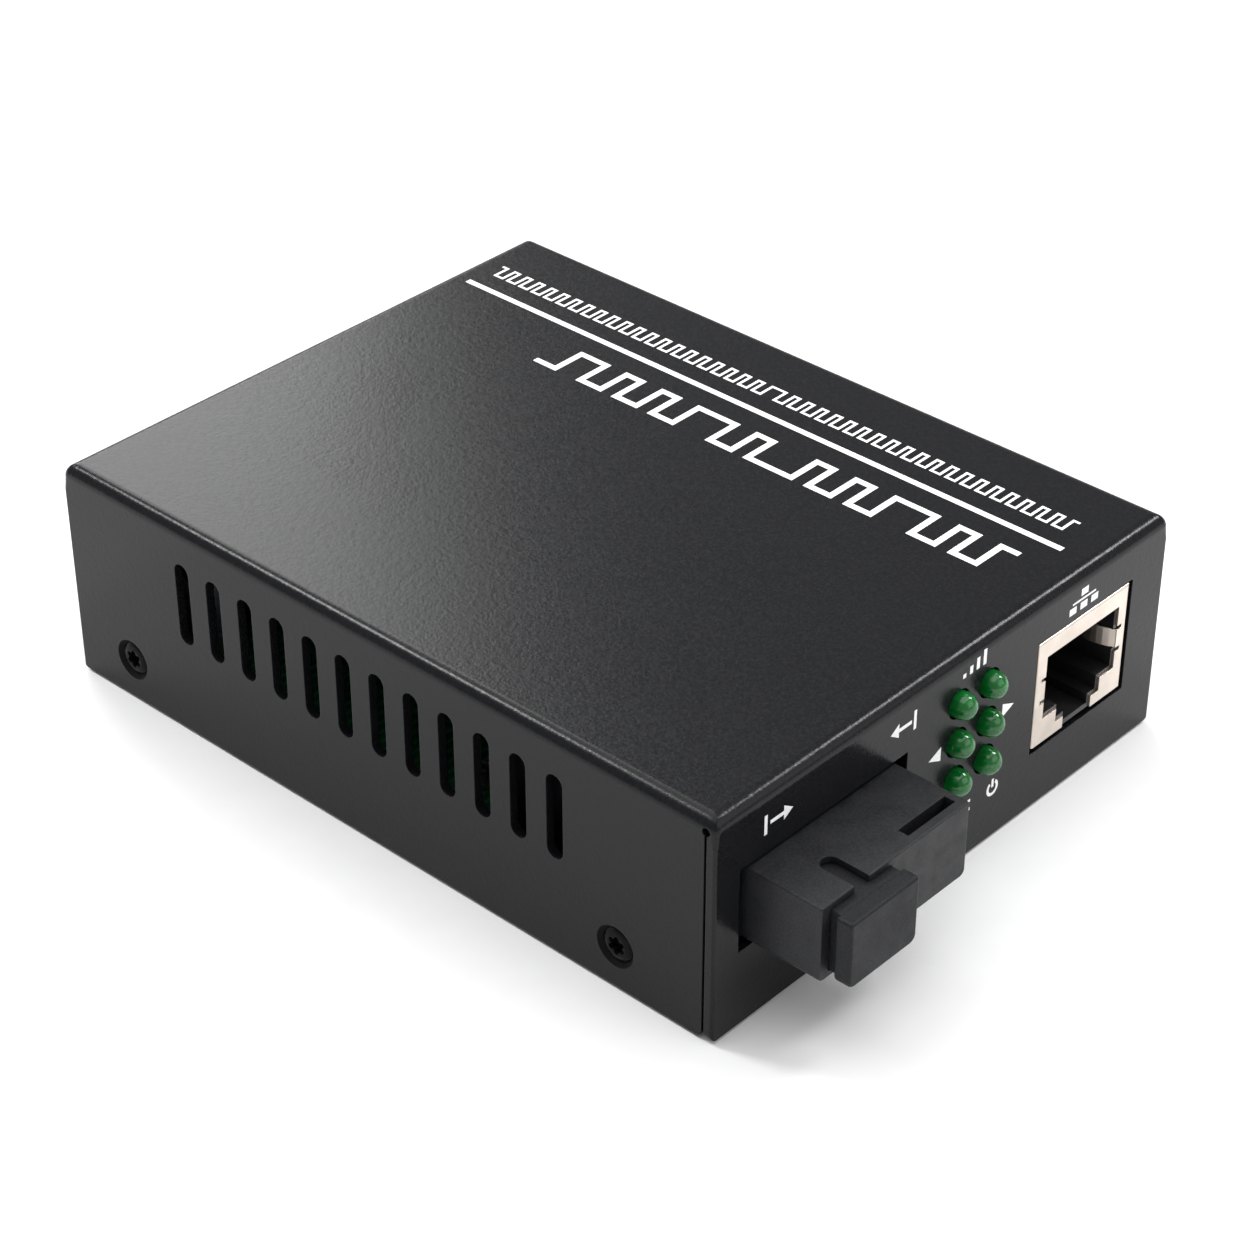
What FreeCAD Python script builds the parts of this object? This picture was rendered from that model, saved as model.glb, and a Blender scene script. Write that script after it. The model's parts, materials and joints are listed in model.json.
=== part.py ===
"""Fibre media converter: a folded steel case with a fibre module, a network jack and six lamps.

Millimetres, +Z up. The front panel faces -Y and +X is to the right of somebody facing it. The
origin is the centre of the base's underside. Each function makes one piece, and the table at the
end writes each piece to its own STEP file.
"""
import FreeCAD
import Part

import math
import os

V = FreeCAD.Vector

# ---------------------------------------------------------------- driving dimensions
# Case: a cover folded from one sheet over a folded tray.
case_width = 73.0
case_depth = 94.5
case_height = 27.0
cover_sheet = 1.1
cover_bend_radius = 1.5
cover_lift = 0.3
cover_edge_round = 0.35
crown_growth = 1.6
corner_slit = 0.3
corner_relief_radius = 0.45
flange_corner_radius = 0.7
base_sheet = 1.0
base_bend_radius = 1.4
base_flange_height = 9.0
base_lip_height = 4.0
base_corner_gap = 0.6
base_fit_gap = 0.15
cut_over = 1.0
root_lap = 1.0

# Ventilation slots, the same row through both side walls.
slot_count = 12
slot_pitch = 4.97
slot_width = 2.2
slot_length = 10.2
slot_top_inset = 4.75
slot_row_shift = 0.8

# Side screws: oval heads in countersunk holes, threaded into collars of the tray's flanges.
side_screw_height = 5.3
side_screw_front_inset = 12.7
side_screw_rear_inset = 9.1
side_screw_radius = 1.25
side_screw_length = 3.3
side_screw_head_radius = 2.0
side_screw_crown = 0.28
side_screw_point = 0.3
side_screw_recess_radius = 1.1
side_screw_recess_depth = 0.9
side_screw_recess_land = 0.12
side_screw_shoulder_drop = 0.084
lobe_share = 0.27
lobe_core_share = 0.72
countersink_radius = 2.45
countersink_neck_radius = 1.4
thread_gap = 0.03
seat_gap = 0.02
collar_wall = 0.6
collar_length = 0.9

# Main board on four pressed-in standoffs.
board_side_gap = 1.25
board_thickness = 1.6
board_end_gap = 0.8
board_corner_radius = 1.5
standoff_height = 5.6
standoff_across_flats = 5.0
standoff_stem_radius = 1.9
standoff_inset_x = 4.0
standoff_front_inset = 39.0
standoff_rear_inset = 6.5
board_screw_radius = 1.2
board_screw_length = 5.5
board_screw_head_radius = 2.2
board_screw_head_height = 1.6
board_screw_top_radius = 1.32
board_screw_rim_height = 0.88
board_screw_cross_width = 0.5
board_screw_cross_arm = 1.1
board_screw_cross_depth = 0.9
board_screw_hole_gap = 0.2
pin_width = 0.5
pin_hole_gap = 0.15
pin_tail = 1.2

# Network jack.
jack_side_inset = 14.6
jack_width = 15.8
jack_height = 13.2
jack_depth = 16.0
jack_proud = 0.1
jack_sheet = 0.25
jack_fit_gap = 0.05
jack_hole_gap = 0.2
jack_hole_right_gap = 0.7
jack_hole_low_gap = 0.8
jack_hole_round = 0.25
plug_half_width = 6.35
plug_top = 11.0
plug_shoulder = 3.1
plug_step_half_width = 3.9
plug_step = 1.4
plug_notch_half_width = 2.5
jack_cavity_inset = 0.35
jack_cavity_depth = 12.0
jack_floor = 0.6
jack_tab_low = 5.7
jack_tab_height = 2.3
jack_tab_length = 4.0
jack_tab_bulge = 0.75
jack_tab_relief = 0.5
jack_tab_root = 0.3
jack_tab_turn = 130.0
jack_tab_steps = 6
jack_tab_room = 0.1
jack_tab_end_room = 0.6
jack_peg_radius = 1.5
jack_peg_spacing = 11.4
jack_peg_setback = 7.0
jack_peg_root = 0.5
jack_peg_hole_gap = 0.1
contact_count = 8
contact_pitch = 1.02
contact_width = 0.4
contact_thick = 0.3
contact_drop = 3.3
contact_reach = 6.4
contact_setback = 2.7
contact_roof = 0.45
contact_tail_gap = 1.8
contact_room = 0.3
contact_knee_run = 0.9
contact_knee_drop = 0.75
contact_loop_run = 0.5
contact_loop_drop = 0.35

# Lamps, two columns of three.
lamp_radius = 1.5
lamp_hole_radius = 1.72
lamp_length = 5.3
lamp_proud = 2.0
lamp_flange_radius = 1.9
lamp_flange_thick = 1.0
lamp_left_x = 0.6
lamp_column_pitch = 5.0
lamp_drop = 0.72
lamp_row_pitch = 4.78
lamp_columns = 2
lamp_rows = 3
lamp_lead_spacing = 2.54
lamp_lead_start = 1.0
lamp_lead_step = 1.4
holder_gap = 0.3
holder_wall = 1.1
holder_depth = 5.5
holder_bore_gap = 0.05
holder_round = 0.6

# Fibre module.
nose_side_inset = 4.8
nose_width = 22.5
nose_low = 10.05
nose_height = 9.0
nose_reach = 9.0
nose_edge_round = 0.2
nose_low_round = 0.75
nose_hole_side_gap = 1.2
nose_hole_far_gap = 1.6
nose_hole_height_gap = 0.55
port_middle_inset = 5.9
port_width = 9.1
port_height = 7.5
port_depth = 15.0
keyway_width = 2.2
keyway_length = 4.9
pocket_from_right = 1.0
pocket_width = 7.3
pocket_length = 1.3
pocket_front_wall = 1.05
pocket_depth = 2.6
module_width = 24.4
module_height = 12.4
module_depth = 14.0
module_gap = 0.4
module_edge_round = 0.5
module_can_depth = 17.0
module_can_sheet = 0.4
module_can_round = 0.6
module_board_gap = 0.3
module_board_laser_gap = 0.5
module_board_lift = 2.0
module_board_thickness = 1.0
module_pin_head = 0.8
module_pin_inset = 2.0
module_pin_count = 9
module_pin_pitch = 2.54

# Optics inside the fibre module.
insert_plate = 1.5
insert_gap = 0.05
sleeve_holder_radius = 2.4
sleeve_holder_length = 7.0
sleeve_radius = 1.6
sleeve_bore_radius = 1.25
sleeve_length = 10.0
sleeve_slit = 0.3
latch_arm_thick = 0.7
latch_arm_height = 3.2
latch_arm_length = 7.4
latch_hook = 0.6
latch_arm_gap = 0.3
barrel_radius = 2.2
barrel_length = 9.0
barrel_flange_radius = 3.0
barrel_flange_thick = 1.2
laser_can_radius = 2.35
laser_can_length = 3.6
laser_header_radius = 2.8
laser_header_thick = 1.2

# Dust cap, a push fit in the fibre port.
cap_width = 10.2
cap_height = 7.9
cap_thick = 2.0
cap_round = 0.35
cap_low_round = 0.95
cap_standoff = 1.0
cap_drop = 0.25
cap_plug_gap = 0.1
cap_plug_length = 5.5
cap_plug_wall = 0.9
cap_plug_chamfer = 0.3

# Power jack on the rear panel.
power_side_inset = 16.5
power_width = 9.0
power_height = 11.0
power_depth = 14.2
power_face_depth = 3.4
power_face_round = 0.4
power_proud = 0.1
power_hole_gap = 0.3
power_axis_height = 6.4
power_barrel_radius = 4.2
power_bore_radius = 3.15
power_bore_depth = 10.0
power_pin_radius = 1.05
power_pin_recess = 0.6
power_pin_shank_radius = 1.3
power_pin_chamfer = 0.35
power_tail_setback = 1.0
power_leaf_width = 2.0
power_leaf_thick = 0.3
power_leaf_side_room = 0.1
power_leaf_end_room = 0.3
power_leaf_bore_lap = 0.4
power_leaf_proud = 0.1
power_leaf_front_inset = 0.5
power_leaf_tail_inset = 0.6
power_leaf_knee_run = 0.5
power_leaf_knee_drops = (1.2, 0.7)
power_leaf_tip_drop = 0.8

# Parts on the board: where each stands (middle) and its size.
package_draft = 0.25
package_lift = 0.1
gull_thick = 0.2
gull_knee_share = 0.35
gull_foot_share = 0.55
chip_x = 4.0
chip_y = 4.0
chip_size = 7.0
chip_height = 1.4
chip_pins_a_side = 8
chip_pin_pitch = 0.8
chip_pin_width = 0.35
chip_pin_reach = 1.0
transformer_setback = 11.25
transformer_width = 12.7
transformer_length = 7.2
transformer_height = 5.4
transformer_pin_pitch = 1.27
transformer_pin_width = 0.5
crystal_x = 16.0
crystal_y = 5.0
crystal_length = 10.6
crystal_width = 4.4
crystal_height = 3.4
crystal_edge = 0.35
crystal_flange = 0.4
crystal_flange_thick = 0.4
supply_capacitor_side_inset = 7.3
supply_capacitor_rear_inset = 14.95
supply_capacitor_radius = 3.15
supply_capacitor_height = 8.0
output_capacitor_x = -16.0
output_capacitor_y = 30.0
output_capacitor_radius = 2.5
output_capacitor_height = 8.0
capacitor_crimp = 0.25
capacitor_groove_low = 1.2
capacitor_groove_height = 0.8
inductor_x = 2.0
inductor_y = 30.0
inductor_size = 7.3
inductor_height = 4.0
inductor_round = 1.5
regulator_x = -6.0
regulator_y = 18.0
regulator_width = 6.5
regulator_length = 3.6
regulator_height = 1.7
regulator_leg_pitch = 2.3
regulator_leg_width = 0.7
regulator_tab_width = 3.0
regulator_leg_root = 0.4
chip_part_length = 1.6
chip_part_width = 0.8
chip_part_height = 0.5
chip_part_pitch = 2.4
resistor_row_x = -4.0
resistor_row_y = -8.0
resistor_count = 7
capacitor_row_x = -4.0
capacitor_row_y = -12.0
capacitor_count = 7

# ---------------------------------------------------------------- places that follow
half_width = case_width / 2
half_depth = case_depth / 2
front_y = -half_depth
rear_y = half_depth
ceiling_z = case_height - cover_sheet
slot_middle_z = case_height - slot_top_inset - slot_length / 2
board_low = base_sheet + standoff_height
board_top = board_low + board_thickness
board_depth = case_depth - 2 * (cover_sheet + board_end_gap)
tray_half_width = half_width - cover_sheet - base_fit_gap
tray_half_depth = half_depth - cover_sheet - base_fit_gap
flange_half_depth = tray_half_depth - base_bend_radius - base_corner_gap
lip_half_width = tray_half_width - base_bend_radius - base_corner_gap
board_width = 2 * (tray_half_width - base_sheet - board_side_gap)
side_screw_ys = (front_y + side_screw_front_inset, rear_y - side_screw_rear_inset)
standoff_spots = [
    (sx * (board_width / 2 - standoff_inset_x), y)
    for sx in (-1, 1)
    for y in (front_y + standoff_front_inset, rear_y - standoff_rear_inset)
]
jack_middle_x = half_width - jack_side_inset
jack_front_y = front_y - jack_proud
jack_back_y = jack_front_y + jack_depth
jack_peg_y = jack_front_y + jack_peg_setback
lamp_xs = [lamp_left_x + i * lamp_column_pitch for i in range(lamp_columns)]
lamp_middle_z = (board_top + ceiling_z) / 2 - lamp_drop
lamp_zs = [lamp_middle_z + (i - (lamp_rows - 1) / 2) * lamp_row_pitch for i in range(lamp_rows)]
lamp_back_y = front_y - lamp_proud + lamp_length
holder_front_y = front_y + cover_sheet + holder_gap
holder_back_y = holder_front_y + holder_depth
lamp_lead_ys = [holder_back_y + lamp_lead_start + i * lamp_lead_step for i in range(lamp_rows)]
nose_left_x = nose_side_inset - half_width
nose_front_y = front_y - nose_reach
nose_middle_x = nose_left_x + nose_width / 2
nose_top = nose_low + nose_height
port_x = nose_left_x + port_middle_inset
port_z = nose_low + nose_height / 2
port_back_y = nose_front_y + port_depth
module_front_y = front_y + cover_sheet + module_gap
module_back_y = module_front_y + module_depth
module_low_x = nose_middle_x - module_width / 2
can_back_y = module_back_y + module_can_depth
module_pin_y = can_back_y - module_pin_inset
power_middle_x = half_width - power_side_inset
power_face_y = rear_y + power_proud
power_z = board_top + power_axis_height
power_pin_back_y = power_face_y - power_bore_depth
transformer_x = jack_middle_x
transformer_y = jack_back_y + transformer_setback
supply_capacitor_x = supply_capacitor_side_inset - half_width
supply_capacitor_y = rear_y - supply_capacitor_rear_inset


# ---------------------------------------------------------------- helpers
def box(x0, x1, y0, y1, z0, z1):
    """A block between two corners."""
    return Part.makeBox(x1 - x0, y1 - y0, z1 - z0, V(x0, y0, z0))


def rod(radius, start, end):
    """A cylinder from one point to another."""
    way = end - start
    return Part.makeCylinder(radius, way.Length, start, way)


def outline_face(points):
    """A flat face inside a closed outline of corner points."""
    return Part.Face(Part.makePolygon(points + [points[0]]))


def turned(points, origin, axis, radial):
    """A solid turned about an axis from (radius, distance along the axis) points."""
    corners = [origin + radial * r + axis * s for r, s in points]
    return outline_face(corners).revolve(origin, axis, 360.0)


def strip_profile(points, thick, place):
    """A face of even thickness along a path of (a, b) points; place turns (a, b) into a point."""
    left, right = [], []
    count = len(points)
    for i, (a, b) in enumerate(points):
        before = points[max(i - 1, 0)]
        after = points[min(i + 1, count - 1)]
        d0 = unit(a - before[0], b - before[1]) if i else unit(after[0] - a, after[1] - b)
        d1 = unit(after[0] - a, after[1] - b) if i < count - 1 else d0
        nx, ny = unit(-(d0[1] + d1[1]), d0[0] + d1[0])
        reach = thick / 2 / (nx * -d0[1] + ny * d0[0])
        left.append(place(a + nx * reach, b + ny * reach))
        right.append(place(a - nx * reach, b - ny * reach))
    return outline_face(left + right[::-1])


def unit(a, b):
    """A direction of length one."""
    size = math.hypot(a, b)
    return a / size, b / size


def rounded(shape, radius, wanted):
    """The shape with a fillet on each edge whose bounding box passes the wanted test."""
    edges = [e for e in shape.Edges if wanted(e.BoundBox)]
    return shape.makeFillet(radius, edges)


def rounded_plate(half_x, half_y, radius, z0, z1):
    """A plate about the Z axis with rounded upright corners."""
    plate = box(-half_x, half_x, -half_y, half_y, z0, z1)
    return rounded(plate, radius, lambda b: same(b.ZLength, z1 - z0))


def same(a, b):
    """True where two lengths are equal."""
    return abs(a - b) < 1e-4


def corner_cutter(corner, along_a, along_b, radius, through):
    """What a corner of a sheet loses when it is rounded: a square less a quarter disc."""
    middle = corner + along_a * radius + along_b * radius
    square = outline_face([corner, corner + along_a * radius, middle, corner + along_b * radius])
    block = square.extrude(through)
    return block.cut(rod(radius, middle - through, middle + through * 2))


def fuse(shapes):
    """One solid from several that touch or overlap."""
    first = shapes[0]
    return first.fuse(shapes[1:]).removeSplitter() if len(shapes) > 1 else first


# ---------------------------------------------------------------- case
def case_outline(radius, z):
    """The case's outline at a height, a rectangle with rounded corners."""
    plate = rounded_plate(half_width, half_depth, radius, z, z + 1)
    floor = [f for f in plate.Faces if same(f.BoundBox.ZMax, z)][0]
    return floor.OuterWire


def cover_outside():
    """The shell's outside: nearly sharp upright edges that grow into the bends' round corners."""
    bend_z = case_height - cover_bend_radius
    growth_z = bend_z - crown_growth
    walls = rounded_plate(half_width, half_depth, cover_edge_round, cover_lift, growth_z)
    growth = Part.makeLoft(
        [case_outline(cover_edge_round, growth_z), case_outline(cover_bend_radius, bend_z)],
        True,
        True,
    )
    low = bend_z - cover_bend_radius
    crown = box(-half_width, half_width, front_y, rear_y, low, case_height)
    crown = rounded(crown, cover_bend_radius, lambda b: not same(b.ZMax, low))
    crown = crown.common(box(-half_width, half_width, front_y, rear_y, bend_z, case_height))
    return fuse([walls, growth, crown])


def cover_blank():
    """The folded shell before its openings: bends along the top, panels full width."""
    outer = cover_outside()
    inner = box(
        -half_width + cover_sheet,
        half_width - cover_sheet,
        front_y + cover_sheet,
        rear_y - cover_sheet,
        0.0,
        ceiling_z,
    )
    inner = rounded(
        inner,
        cover_bend_radius - cover_sheet,
        lambda b: same(b.ZMin, ceiling_z) and same(b.ZMax, ceiling_z),
    )
    return outer.cut(inner)


def cover_corner_cutters():
    """Slits and relief holes where the walls meet, and the flanges' rounded lower corners.

    In front the panel runs the full width and the side walls stop behind it. At the rear the side
    walls run the full depth and the panel stops between them.
    """
    cutters = []
    up = V(0, 0, 1)
    inside_x = half_width - cover_sheet
    inside_y = half_depth - cover_sheet
    relief_z = case_height - cover_bend_radius
    for sx in (-1, 1):
        side = V(sx, 0, 0)
        for edge, across, along, through in (
            (V(sx * inside_x, -inside_y, 0), V(0, 1, 0), side, half_width - inside_x),
            (V(sx * inside_x, inside_y, 0), V(-sx, 0, 0), V(0, 1, 0), half_depth - inside_y),
        ):
            reach = along * (through + cut_over)
            slit = outline_face(
                [edge, edge + across * corner_slit, edge + across * corner_slit + reach, edge + reach]
            )
            cutters.append(slit.extrude(up * relief_z))
            relief = edge + across * (corner_slit / 2) + up * relief_z
            cutters.append(rod(corner_relief_radius, relief, relief + reach))
            wall_end = edge + across * corner_slit + up * cover_lift
            cutters.append(
                corner_cutter(wall_end, across, up, flange_corner_radius, along * through)
            )
        for corner, way in (
            (V(sx * half_width, -half_depth, cover_lift), V(0, cover_sheet, 0)),
            (V(sx * half_width, half_depth, cover_lift), V(-sx * cover_sheet, 0, 0)),
        ):
            inward = V(-sx, 0, 0) if way.x == 0 else V(0, -1, 0)
            cutters.append(corner_cutter(corner, inward, up, flange_corner_radius, way))
    return cutters


def slot_cutters():
    """The ventilation slots, each through both side walls."""
    half_run = (slot_length - slot_width) / 2
    radius = slot_width / 2
    first = slot_row_shift - (slot_count - 1) * slot_pitch / 2
    cutters = []
    for i in range(slot_count):
        y = first + i * slot_pitch
        low = slot_middle_z - half_run
        high = slot_middle_z + half_run
        reach = half_width + cut_over
        middle = box(-reach, reach, y - radius, y + radius, low, high)
        ends = [rod(radius, V(-reach, y, z), V(reach, y, z)) for z in (low, high)]
        cutters.append(fuse([middle] + ends))
    return cutters


def screw_frame(sx, y):
    """The point on a side wall where a screw enters, its way in and a direction across it."""
    return V(sx * half_width, y, side_screw_height), V(-sx, 0, 0), V(0, 0, 1)


def screw_hole_cutters():
    """Countersunk holes for the side screws."""
    slope = countersink_radius - countersink_neck_radius
    profile = [
        (0.0, -cut_over),
        (countersink_radius, -cut_over),
        (countersink_radius, 0.0),
        (countersink_neck_radius, slope),
        (countersink_neck_radius, cover_sheet + cut_over),
        (0.0, cover_sheet + cut_over),
    ]
    return [turned(profile, *screw_frame(sx, y)) for sx in (-1, 1) for y in side_screw_ys]


def panel_opening_cutters():
    """The front openings for the module, lamps and jack, and the rear one for the power jack."""
    through = (front_y - cut_over, front_y + cover_sheet + cut_over)
    module = box(
        nose_left_x - nose_hole_side_gap,
        nose_left_x + nose_width + nose_hole_far_gap,
        through[0],
        through[1],
        nose_low - nose_hole_height_gap,
        nose_top + nose_hole_height_gap,
    )
    jack = box(
        jack_middle_x - jack_width / 2 - jack_hole_gap,
        jack_middle_x + jack_width / 2 + jack_hole_right_gap,
        through[0],
        through[1],
        board_top - jack_hole_low_gap,
        board_top + jack_height + jack_hole_gap,
    )
    jack = rounded(jack, jack_hole_round, lambda b: b.YLength > cover_sheet)
    power = box(
        power_middle_x - power_width / 2 - power_hole_gap,
        power_middle_x + power_width / 2 + power_hole_gap,
        rear_y - cover_sheet - cut_over,
        rear_y + cut_over,
        board_top - power_hole_gap,
        board_top + power_height + power_hole_gap,
    )
    lamps = [
        rod(lamp_hole_radius, V(x, through[0], z), V(x, through[1], z))
        for x in lamp_xs
        for z in lamp_zs
    ]
    return [module, jack, power] + lamps


def cover():
    """Cover: top, side walls and end panels folded from one sheet."""
    cutters = cover_corner_cutters() + slot_cutters()
    cutters += screw_hole_cutters() + panel_opening_cutters()
    return cover_blank().cut(cutters)


def channel_profile(half_span, height, place):
    """A folded U section with round bends; place turns (across, up) into a point."""
    r_out = base_bend_radius
    r_in = base_bend_radius - base_sheet
    inside = half_span - base_sheet
    turn = math.sqrt(0.5)
    edges = []

    def line(a, b):
        edges.append(Part.makeLine(place(*a), place(*b)))

    def bend(a, mid, b):
        edges.append(Part.Arc(place(*a), place(*mid), place(*b)).toShape())

    line((-half_span, height), (-half_span, r_out))
    reach = r_out * (1 - turn)
    bend((-half_span, r_out), (-half_span + reach, reach), (-half_span + r_out, 0.0))
    line((-half_span + r_out, 0.0), (half_span - r_out, 0.0))
    bend((half_span - r_out, 0.0), (half_span - reach, reach), (half_span, r_out))
    line((half_span, r_out), (half_span, height))
    line((half_span, height), (inside, height))
    line((inside, height), (inside, base_sheet + r_in))
    reach = r_in * (1 - turn)
    bend(
        (inside, base_sheet + r_in),
        (inside - reach, base_sheet + reach),
        (inside - r_in, base_sheet),
    )
    line((inside - r_in, base_sheet), (-inside + r_in, base_sheet))
    bend(
        (-inside + r_in, base_sheet),
        (-inside + reach, base_sheet + reach),
        (-inside, base_sheet + r_in),
    )
    line((-inside, base_sheet + r_in), (-inside, height))
    line((-inside, height), (-half_span, height))
    return Part.Face(Part.Wire(edges))


def base():
    """Base: a folded tray with threaded collars on its flanges and holes for the standoffs."""
    sides = channel_profile(
        tray_half_width, base_flange_height, lambda a, b: V(a, -flange_half_depth, b)
    ).extrude(V(0, 2 * flange_half_depth, 0))
    lips = channel_profile(
        tray_half_depth, base_lip_height, lambda a, b: V(-lip_half_width, a, b)
    ).extrude(V(2 * lip_half_width, 0, 0))
    tray = sides.fuse(lips).removeSplitter()
    corner = flange_corner_radius * 2
    cutters = []
    for sx in (-1, 1):
        for sy in (-1, 1):
            cutters.append(
                corner_cutter(
                    V(sx * (tray_half_width - base_sheet), sy * flange_half_depth, base_flange_height),
                    V(0, -sy, 0),
                    V(0, 0, -1),
                    corner,
                    V(sx * base_sheet, 0, 0),
                )
            )
    collars = []
    hole_radius = side_screw_radius + thread_gap
    for sx in (-1, 1):
        for y in side_screw_ys:
            inner_x = sx * (tray_half_width - base_sheet)
            start = V(inner_x + sx * base_sheet / 2, y, side_screw_height)
            end = V(inner_x - sx * collar_length, y, side_screw_height)
            collars.append(rod(hole_radius + collar_wall, start, end))
            cutters.append(rod(hole_radius, V(sx * half_width, y, side_screw_height), end))
    for x, y in standoff_spots:
        low, high = V(x, y, -cut_over), V(x, y, base_sheet + cut_over)
        cutters.append(rod(standoff_stem_radius + thread_gap, low, high))
    return tray.fuse(collars).removeSplitter().cut(cutters)


def six_lobe_cutter(origin, axis, radial, radius, depth):
    """A six-lobe driver recess sunk along the axis."""
    across = axis.cross(radial)
    lobe = radius * lobe_share
    start, end = axis * -cut_over, axis * depth
    tools = [rod(radius * lobe_core_share, origin + start, origin + end)]
    for i in range(6):
        angle = math.radians(60 * i)
        way = radial * math.cos(angle) + across * math.sin(angle)
        spot = origin + way * (radius - lobe)
        tools.append(rod(lobe, spot + start, spot + end))
    return fuse(tools)


def side_screw(sx, y):
    """An oval-head countersunk screw, its crown just under the wall's face."""
    origin, axis, radial = screw_frame(sx, y)
    sunk = countersink_radius - side_screw_head_radius - seat_gap
    head_end = sunk + side_screw_head_radius - side_screw_radius
    tip = side_screw_length
    crown = origin + axis * (sunk - side_screw_crown)
    land = side_screw_recess_radius + side_screw_recess_land
    shoulder = (land + side_screw_head_radius) / 2
    profile = [
        (0.0, sunk - side_screw_crown),
        (land, sunk - side_screw_crown),
        (shoulder, sunk - side_screw_crown + side_screw_shoulder_drop),
        (side_screw_head_radius, sunk),
        (side_screw_radius, head_end),
        (side_screw_radius, tip - side_screw_point),
        (side_screw_radius - side_screw_point, tip),
        (0.0, tip),
    ]
    solid = turned(profile, origin, axis, radial)
    recess = six_lobe_cutter(
        crown, axis, radial, side_screw_recess_radius, side_screw_recess_depth
    )
    return solid.cut(recess)


def cover_screws():
    """The four screws that hold the cover to the tray."""
    return [side_screw(sx, y) for sx in (-1, 1) for y in side_screw_ys]


# ---------------------------------------------------------------- board and its fixings
def board_standoffs():
    """Hexagonal standoffs with a stem pressed into the tray."""
    corner = standoff_across_flats / math.sqrt(3)
    bore = board_screw_radius + thread_gap
    made = []
    for x, y in standoff_spots:
        ring = [
            V(x + corner * math.cos(math.radians(60 * i)), y + corner * math.sin(math.radians(60 * i)),
              base_sheet)
            for i in range(6)
        ]
        body = outline_face(ring).extrude(V(0, 0, standoff_height))
        stem = rod(standoff_stem_radius, V(x, y, 0), V(x, y, base_sheet))
        post = body.fuse(stem)
        made.append(post.cut(rod(bore, V(x, y, -cut_over), V(x, y, board_top))))
    return made


def cross_cutter(top, width, arm, depth):
    """A cross driver recess sunk down from a point."""
    half = width / 2
    bars = [
        box(top.x - a, top.x + a, top.y - b, top.y + b, top.z - depth, top.z + cut_over)
        for a, b in ((arm, half), (half, arm))
    ]
    return fuse(bars)


def board_screws():
    """Pan-head screws through the board into the standoffs."""
    made = []
    head = board_screw_head_height
    for x, y in standoff_spots:
        origin = V(x, y, board_top)
        profile = [
            (0.0, head),
            (board_screw_top_radius, head),
            (board_screw_head_radius, board_screw_rim_height),
            (board_screw_head_radius, 0.0),
            (board_screw_radius, 0.0),
            (board_screw_radius, -board_screw_length),
            (0.0, -board_screw_length),
        ]
        screw = turned(profile, origin, V(0, 0, 1), V(1, 0, 0))
        top = V(x, y, board_top + head)
        cross = cross_cutter(
            top, board_screw_cross_width, board_screw_cross_arm, board_screw_cross_depth
        )
        made.append(screw.cut(cross))
    return made


def pin_spots():
    """Where square pins pass through the board."""
    spots = [(x, contact_tail_y()) for x in contact_xs()]
    spots += [(x, module_pin_y) for x in module_pin_xs()]
    for x in lamp_xs:
        for sx in (-1, 1):
            spots += [(x + sx * lamp_lead_spacing / 2, y) for y in lamp_lead_ys]
    spots += [power_pin_tail(), power_leaf_tail()]
    return spots


def pin_hole(x, y, z0, z1):
    """Room for a square pin to pass through a board."""
    half = pin_width / 2 + pin_hole_gap
    return box(x - half, x + half, y - half, y + half, z0, z1)


def main_board():
    """The main circuit board with its holes."""
    board = rounded_plate(
        board_width / 2, board_depth / 2, board_corner_radius, board_low, board_top
    )
    through = (board_low - cut_over, board_top + cut_over)
    holes = [(x, y, board_screw_radius + board_screw_hole_gap) for x, y in standoff_spots]
    for sx in (-1, 1):
        x = jack_middle_x + sx * jack_peg_spacing / 2
        holes.append((x, jack_peg_y, jack_peg_radius + jack_peg_hole_gap))
    cutters = [rod(radius, V(x, y, through[0]), V(x, y, through[1])) for x, y, radius in holes]
    cutters += [pin_hole(x, y, *through) for x, y in pin_spots()]
    return board.cut(cutters)


# ---------------------------------------------------------------- network jack
def plug_outline(inset, low, y):
    """The stepped outline of the plug opening, narrower by an inset, from a height up."""
    outline = [
        (plug_notch_half_width, low),
        (plug_notch_half_width, board_top + plug_step + inset),
        (plug_step_half_width, board_top + plug_step + inset),
        (plug_step_half_width, board_top + plug_shoulder + inset),
        (plug_half_width, board_top + plug_shoulder + inset),
        (plug_half_width, board_top + plug_top - inset),
    ]
    right = [V(jack_middle_x + half - inset, y, z) for half, z in outline]
    left = [V(jack_middle_x - half + inset, y, z) for half, z in reversed(outline)]
    return outline_face(right + left)


def jack_tab(sx):
    """A spring tab folded back from the side of the opening and bowed into it."""
    root = jack_front_y + jack_sheet / 2
    edge = plug_half_width + jack_sheet
    path = [(edge + jack_tab_root, root), (edge - jack_sheet / 2, root)]
    for i in range(1, jack_tab_steps + 1):
        part = i / jack_tab_steps
        bow = math.sin(math.radians(jack_tab_turn) * part)
        path.append((edge - jack_sheet / 2 - jack_tab_bulge * bow, root + jack_tab_length * part))
    low = board_top + jack_tab_low
    face = strip_profile(
        path, jack_sheet, lambda a, b: V(jack_middle_x + sx * a, b, low)
    )
    return face.extrude(V(0, 0, jack_tab_height))


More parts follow.
